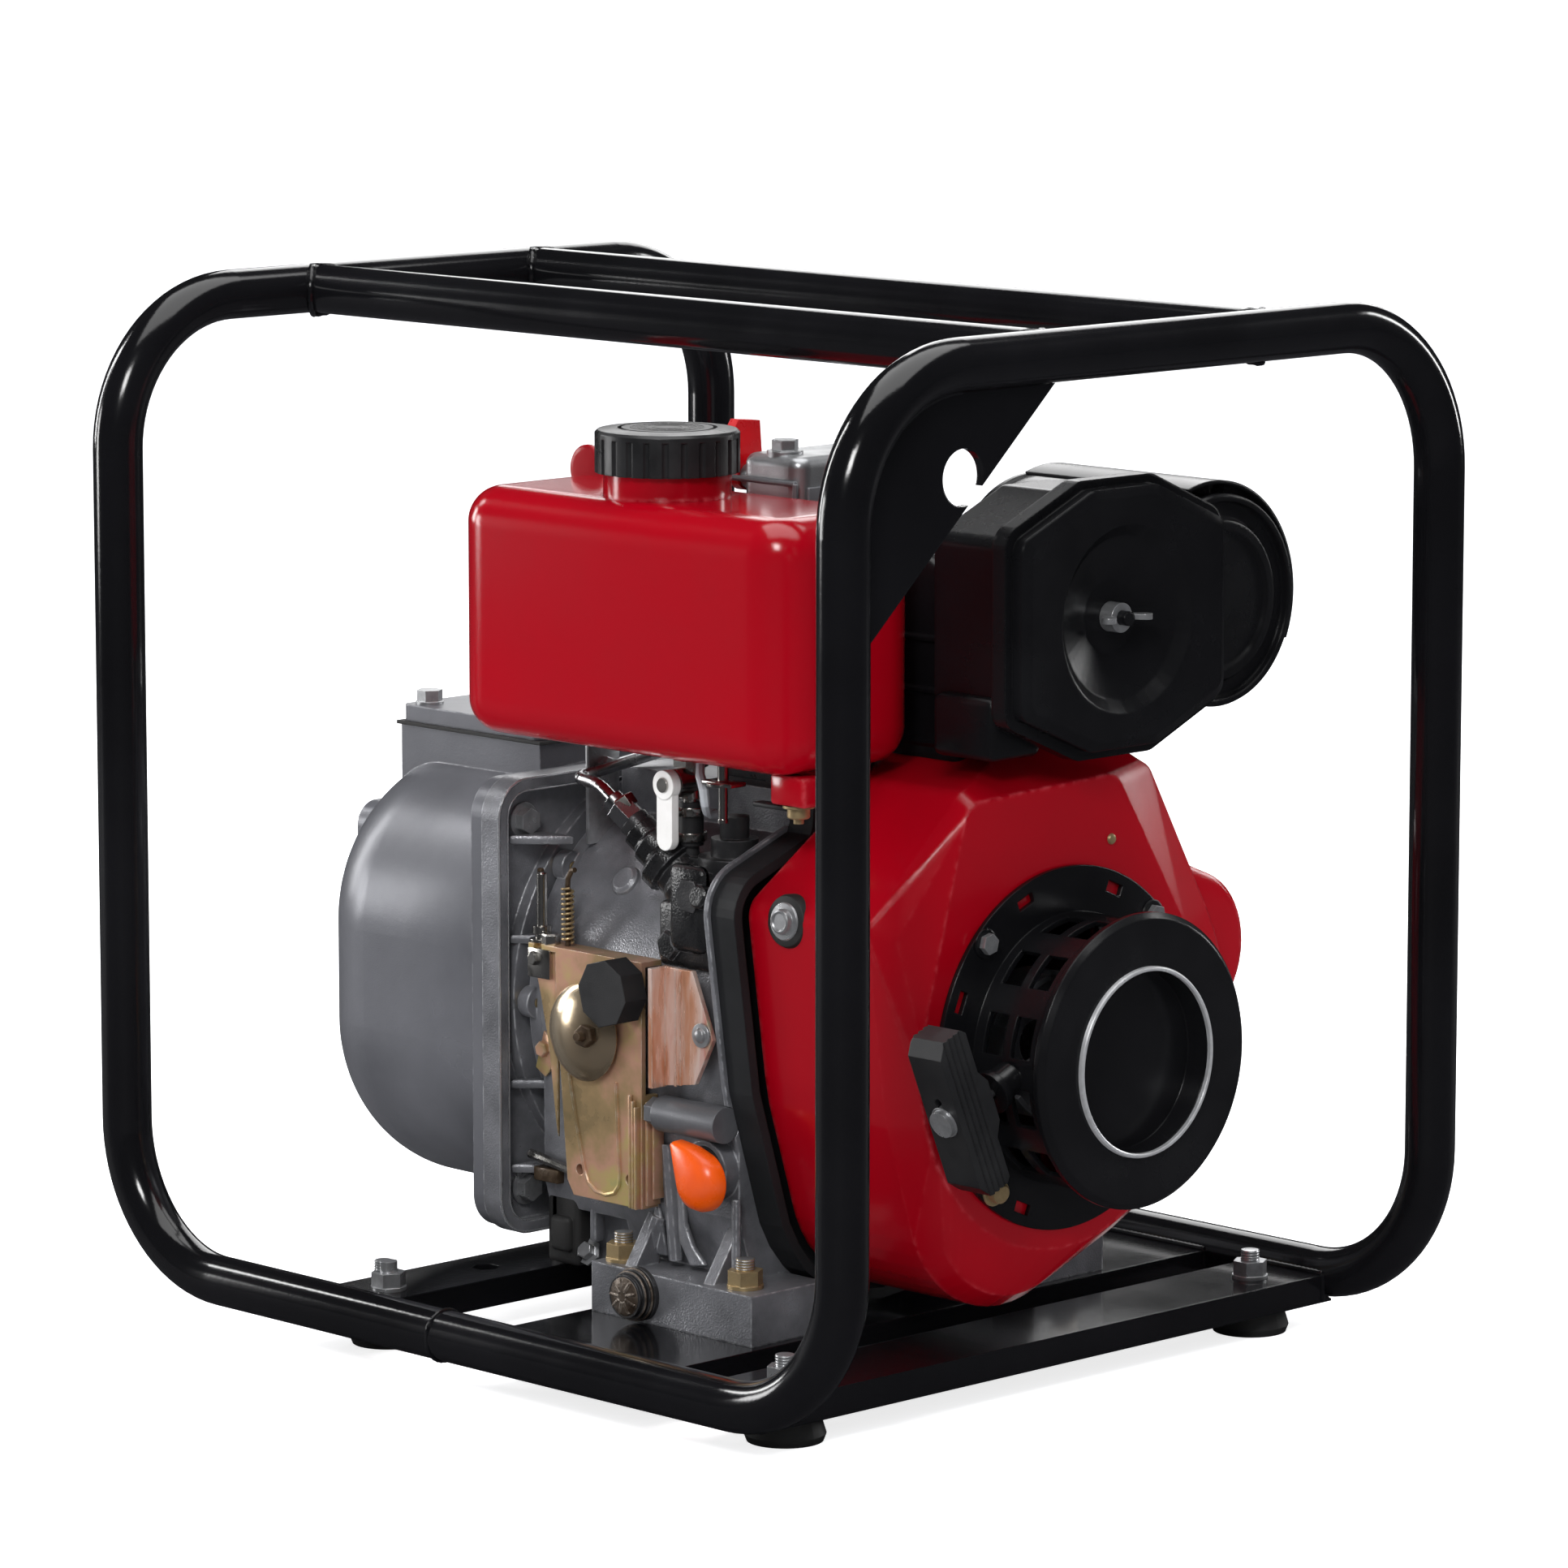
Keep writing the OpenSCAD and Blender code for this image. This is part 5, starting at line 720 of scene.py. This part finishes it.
pump_lean = Vector((-0.766, -0.2, 0.643)).normalized()
turn(pump_body, [(0, -16), (15, -16), (17, -13), (17, 4), (15, 7), (15, 12), (18, 14), (18, 22),
                 (15, 24), (12.4, 26), (12.4, 34), (10.4, 36), (10.4, 44), (0, 44)],
     (40, -99, 268), pump_lean, 12)
block(pump_body, (36, -122, 226), (84, -112, 262), 4, 3)
block(pump_body, (48, -126, 236), (76, -118, 284), 5, 3)
turn(pump_body, [(0, 3), (7, 3), (8.5, 1.5), (8.5, -6), (0, -6)], (46, -122, 238), (0, -1, 0), 6)
turn(pump_body, [(0, 5), (5, 5), (6.4, 3.8), (6.4, -6), (0, -6)], (74, -124, 268), (0, -1, 0.2), 28)
settle("injection_pump_body", pump_body, pump_black, "frame")

# ---- Speed control
# Two folded sheets in yellow zinc passivate, whose film shifts from gold to rose and green.
zinc_yellow = finish("zinc_yellow", (0.55, 0.44, 0.24), (0.6, 0.36, 0.26), (0.24, 0.4), metal=0.55,
                     drift=17, edge=0.0008, wear_and_highlight_amount=0.7, wear_and_highlight_color=(0.85, 0.8, 0.68),
                     tints=((0.0, (0.2, 0.15, 0.075)), (0.34, (0.38, 0.26, 0.13)),
                            (0.56, (0.56, 0.31, 0.21)), (0.78, (0.5, 0.4, 0.15)),
                            (1.0, (0.3, 0.36, 0.19))))
dress(zinc_yellow, "control_plate")
rose_zinc = finish("rose_zinc", (0.6, 0.3, 0.2), (0.6, 0.5, 0.38), (0.22, 0.36), metal=0.6,
                   drift=34, stretch=0.18, edge=0.0008, wear_and_highlight_amount=0.8, wear_and_highlight_color=(0.9, 0.86, 0.78),
                   tints=((0.0, (0.22, 0.11, 0.06)), (0.3, (0.62, 0.29, 0.17)),
                          (0.52, (0.8, 0.6, 0.52)), (0.68, (0.6, 0.25, 0.2)),
                          (0.84, (0.55, 0.62, 0.42)), (1.0, (0.66, 0.44, 0.3))))
dress(rose_zinc, "stop_plate")
lever_zinc = finish("lever_zinc", (0.74, 0.66, 0.52), (0.6, 0.5, 0.37), (0.2, 0.34), metal=0.75,
                    drift=50, edge=0.0008)
dress(lever_zinc, "speed_lever")

PLATE_Y = -129  # the control plate's outer face
emboss = bmesh.new()
run(emboss, [(-27, PLATE_Y, 158), (-21, PLATE_Y, 130), (-15, PLATE_Y, 106), (-12, PLATE_Y, 99),
             (-6, PLATE_Y, 95), (2, PLATE_Y, 94), (9, PLATE_Y, 96), (13, PLATE_Y, 101),
             (13.6, PLATE_Y, 108), (12, PLATE_Y, 132), (10.6, PLATE_Y, 158)], 1.3)
for step, x in enumerate((22.5, 25.4, 28.2)):
    block(emboss, (x, PLATE_Y - 2.6 - step * 0.5, 90), (x + 1.6, PLATE_Y - 0.1, 153 - 3 * step), 0.4)
block(emboss, (32.4, PLATE_Y + 1, 92), (34.2, -118, 150), 0.4)
block(emboss, (35.8, PLATE_Y + 3, 96), (37.2, -118, 146), 0.4)
cut_sheet(emboss, [(-39, PLATE_Y + 2, 224), (-60, PLATE_Y + 2, 224), (-53, PLATE_Y + 2, 200),
                   (-46, PLATE_Y + 2, 170), (-41, PLATE_Y + 2, 132), (-39, PLATE_Y + 2, 120)],
          (0, 2, 0), 0.5)
settle("control_plate_folds", emboss, zinc_yellow, "frame")
dome = bmesh.new()
turn(dome, [(0, 9.2), (5, 9.0), (11, 8.0), (17, 6.2), (22.5, 3.8), (26, 1.6), (27, 0.5), (26.8, 0),
            (5.6, 0)], (-12, -132.2, 183), (0, -1, 0), 64)
dome_gold = finish("dome_gold", (0.72, 0.62, 0.46), (0.5, 0.36, 0.22), (0.16, 0.26), metal=0.9,
                   drift=16, stretch=0.4, edge=0.0008)
settle("lever_dome", dome, dome_gold, "frame")
dark_nut = finish("dark_nut", (0.045, 0.028, 0.016), (0.11, 0.075, 0.045), (0.3, 0.6), metal=0.5,
                  drift=160, ripple=700, depth=0.0002, edge=0.0006, wear_and_highlight_amount=0.5, wear_and_highlight_color=(0.3, 0.22, 0.14))
stud = bmesh.new()
turn(stud, [(0, 7.4), (2.6, 7.2), (3, 6.6), (3, 5.4), (5.6, 5.2), (6.4, 4.4), (6.4, 0), (0, 0)],
     (0, -140.4, 184), (0.2, -1, 0.1), 6)
turn(stud, [(0, 11), (2.2, 10.8), (2.6, 10), (2.6, 4), (0, 4)], (0, -140.4, 184), (0.2, -1, 0.1), 20)
settle("lever_nut", stud, dark_nut, "frame")
FOLD_Z = 227  # the plate's upper fold, which carries the posts and the governor's spring
posts = bmesh.new()
turn(posts, [(0, 39), (2.4, 38.8), (3, 38), (3, 9), (5.4, 8.8), (5.4, 4.6), (4, 4.4), (4, 2), (7, 1.8),
             (7, 0.1), (0, 0.1)], (-57, -121.5, FOLD_Z), (0, 0, 1), 24)
turn(posts, [(0, 6), (4.6, 6), (5.2, 5.2), (5.2, 0.1), (0, 0.1)], (-47, -124, FOLD_Z), (0, 0, 1), 6)
turn(posts, [(0, 3.6), (3.4, 3.6), (4, 3), (4, 0), (0, 0)], (-54, -129, FOLD_Z - 8), (0, -1, 0), 6)
block(posts, (-60, -130, 208), (-42, -127.6, 224.6), 0.8)
run(posts, [(-70, -119, 105), (-58, -119.5, 103.6), (-44, -119.5, 101.6), (-36, -119, 100.4)], 2.8)
settle("control_posts", posts, tap_metal, "frame")
spring = bmesh.new()
coil = [(-36 + 3.1 * math.cos(0.55 * k), -121.5 + 3.1 * math.sin(0.55 * k), FOLD_Z + 2 + 0.245 * k)
        for k in range(126)]
run(spring, coil, 0.75)
settle("governor_spring", spring, nut_brass, "frame")
hook = bmesh.new()
run(hook, [(-36, -121.5, FOLD_Z), (-36, -121.5, FOLD_Z + 33), (-35, -122, FOLD_Z + 38),
           (-31, -123, FOLD_Z + 43), (-28, -123.5, FOLD_Z + 43.6)], 1.5)
block(hook, (-64, -119, FOLD_Z + 12), (-60.6, -116, FOLD_Z + 40), 0.8)
block(hook, (-66, -121, 91), (-46, -112, 99), 1.2)
settle("control_dark_parts", hook, dark_nut, "frame")
tab = bmesh.new()
cut_sheet(tab, [(-68, -117, 154), (-58, -119, 150), (-50, -120, 158), (-51, -120, 172),
                (-60, -118, 176)], (0, 2, 0), 0.6)
turn(tab, [(0, 4), (3.8, 4), (4.6, 3.2), (4.6, 0), (0, 0)], (-58, -119, 166), (0, -1, 0), 6)
settle("governor_tab", tab, zinc_yellow, "frame")
stop_screw = bmesh.new()
turn(stop_screw, [(0, 3.8), (2.4, 3.6), (3.6, 2.8), (4.2, 1.4), (6.6, 1.2), (6.8, 0.1), (0, 0.1)],
     (81, -131.3, 194), (0, -1, 0), 32)
settle("stop_plate_screw", stop_screw, bolt_zinc, "frame")
creases = bmesh.new()
for x, top, low in ((51.5, 226, 163), (60, 227, 163), (64, 227, 164)):
    run(creases, along((x, -131, top), (x, -131, low), 16), 0.9)
settle("stop_plate_creases", creases, rose_zinc, "frame")

# ---- Side mount
# A thick rubber block under the crankcase's pump side, with its bolt.
mount = bmesh.new()
block(mount, (-64, -113, 44), (-38, -88, 86), 3.5, 3)
block(mount, (-58, -117, 52), (-42, -108, 72), 3, 3)
settle("pump_side_mount", mount, rubber, "frame")
mount_bolt = bmesh.new()
turn(mount_bolt, [(0, 6), (4.2, 6), (5, 5), (5, 1.6), (8, 1.4), (8, 0), (0, 0)], (-37, -106, 52),
     (0.3, -1, 0.5), 6)
settle("side_mount_bolt", mount_bolt, bolt_zinc, "frame")

# ---- Oil filler
# One moulded orange cap: a low dome with two smaller ones beside it, drawn together in one
# skin, on a neck and stick that turn about the filler's own axis.
orange_plastic = finish("orange_plastic", (0.8, 0.1, 0.003), (0.68, 0.07, 0.002), (0.2, 0.34),
                        drift=40, edge=0.0016)
dress(orange_plastic, "dipstick_cap")
OIL_X, OIL_Z, OIL_FACE = 77, 118, -133
oil_cap = bmesh.new()
turn(oil_cap, [(0, 14), (6, 13.6), (11, 12), (14.6, 9), (16.4, 5), (16.6, 1), (15.6, 0), (0, 0)],
     (OIL_X + 9, OIL_FACE, OIL_Z - 3), (0, -1, 0), 48)
turn(oil_cap, [(0, 10), (1.6, 9.4), (2.4, 7.6), (2.6, 2), (2, 0), (0, 0)],
     (OIL_X - 8, OIL_FACE, OIL_Z + 15), (0, -1, 0), 24)
turn(oil_cap, [(0, 11), (4, 10.4), (6, 8), (6.6, 2), (6, 0), (0, 0)],
     (OIL_X + 3, OIL_FACE, OIL_Z + 9.6), (0, -1, 0), 24)
bmesh.ops.delete(oil_cap, geom=oil_cap.faces[:], context="FACES_ONLY")
hull = bmesh.ops.convex_hull(oil_cap, input=oil_cap.verts[:])
left_over = [part for part in hull["geom_interior"] + hull["geom_unused"]
             if isinstance(part, bmesh.types.BMVert)]
bmesh.ops.delete(oil_cap, geom=left_over, context="VERTS")
bmesh.ops.delete(oil_cap, geom=[edge for edge in oil_cap.edges if not edge.link_faces],
                 context="EDGES")
turn(oil_cap, [(0, 0), (8, 0), (8, -28), (3, -28), (3, -72), (0, -72)], (OIL_X, OIL_FACE - 5, OIL_Z),
     (0, -1, 0), 32)
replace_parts(settle("oil_cap", oil_cap, orange_plastic, "oil_stick"),
            "dipstick_cap")

# ---- Air cowl, rocker cover and tank lug
# Pressed black sheet leads the blower's air from the scroll over the fins; the rocker box has
# a raised frame round its front face, a side panel and a foot flange.
cowl = bmesh.new()
cut_sheet(cowl, [(110, -34, 334), (178, -34, 326), (178, -34, 440), (150, -34, 454),
                 (110, -34, 446)], (0, 66, 0), 4, 3)
block(cowl, (180, -57, 350), (226, -18, 384), 5, 3)
for height in (352, 380, 408):
    run(cowl, along((116, -34, height), (172, -34, height), 14), 2)
settle("air_cowl", cowl, sheet_black, "frame")
rocker = bmesh.new()
low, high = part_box("rocker_cover")
x0, x1, y0, z0 = (value / MM for value in (low.x, high.x, low.y, low.z))
top_z = z0 + 35
frame_path = [(x0 + 3, y0 - 0.2, z0 + 4), (x1 - 3, y0 - 0.2, z0 + 4), (x1 - 3, y0 - 0.2, top_z - 6),
              (x0 + 3, y0 - 0.2, top_z - 6)]
for start, end in zip(frame_path, frame_path[1:] + frame_path[:1]):
    run(rocker, along(start, end, 6), 1.6)
block(rocker, (x1 - 1, y0 + 6, z0 + 5), (x1 + 1.2, high.y / MM - 6, top_z - 8), 0.8)
block(rocker, (x0 - 2, y0 - 1.6, z0 - 1), (x1 + 2, high.y / MM + 1, z0 + 2.2), 0.8)
settle("rocker_cover_trim", rocker, grey_alloy, "frame")
tank_lug = bmesh.new()
turn(tank_lug, [(0, 2), (13, 2), (14, 1), (14, -1), (13, -2), (0, -2)], (-86, -58, 482), (0, -1, 0), 48)
settle("tank_top_lug", tank_lug, gloss_red, "frame")

# ---- Air filter
# The paper element is seen only when the cover is off: matt and unevenly stained.
filter_paper = finish("filter_paper", (0.6, 0.45, 0.18), (0.52, 0.38, 0.15), (0.8, 0.9), drift=60)
dress(filter_paper, "filter_element")
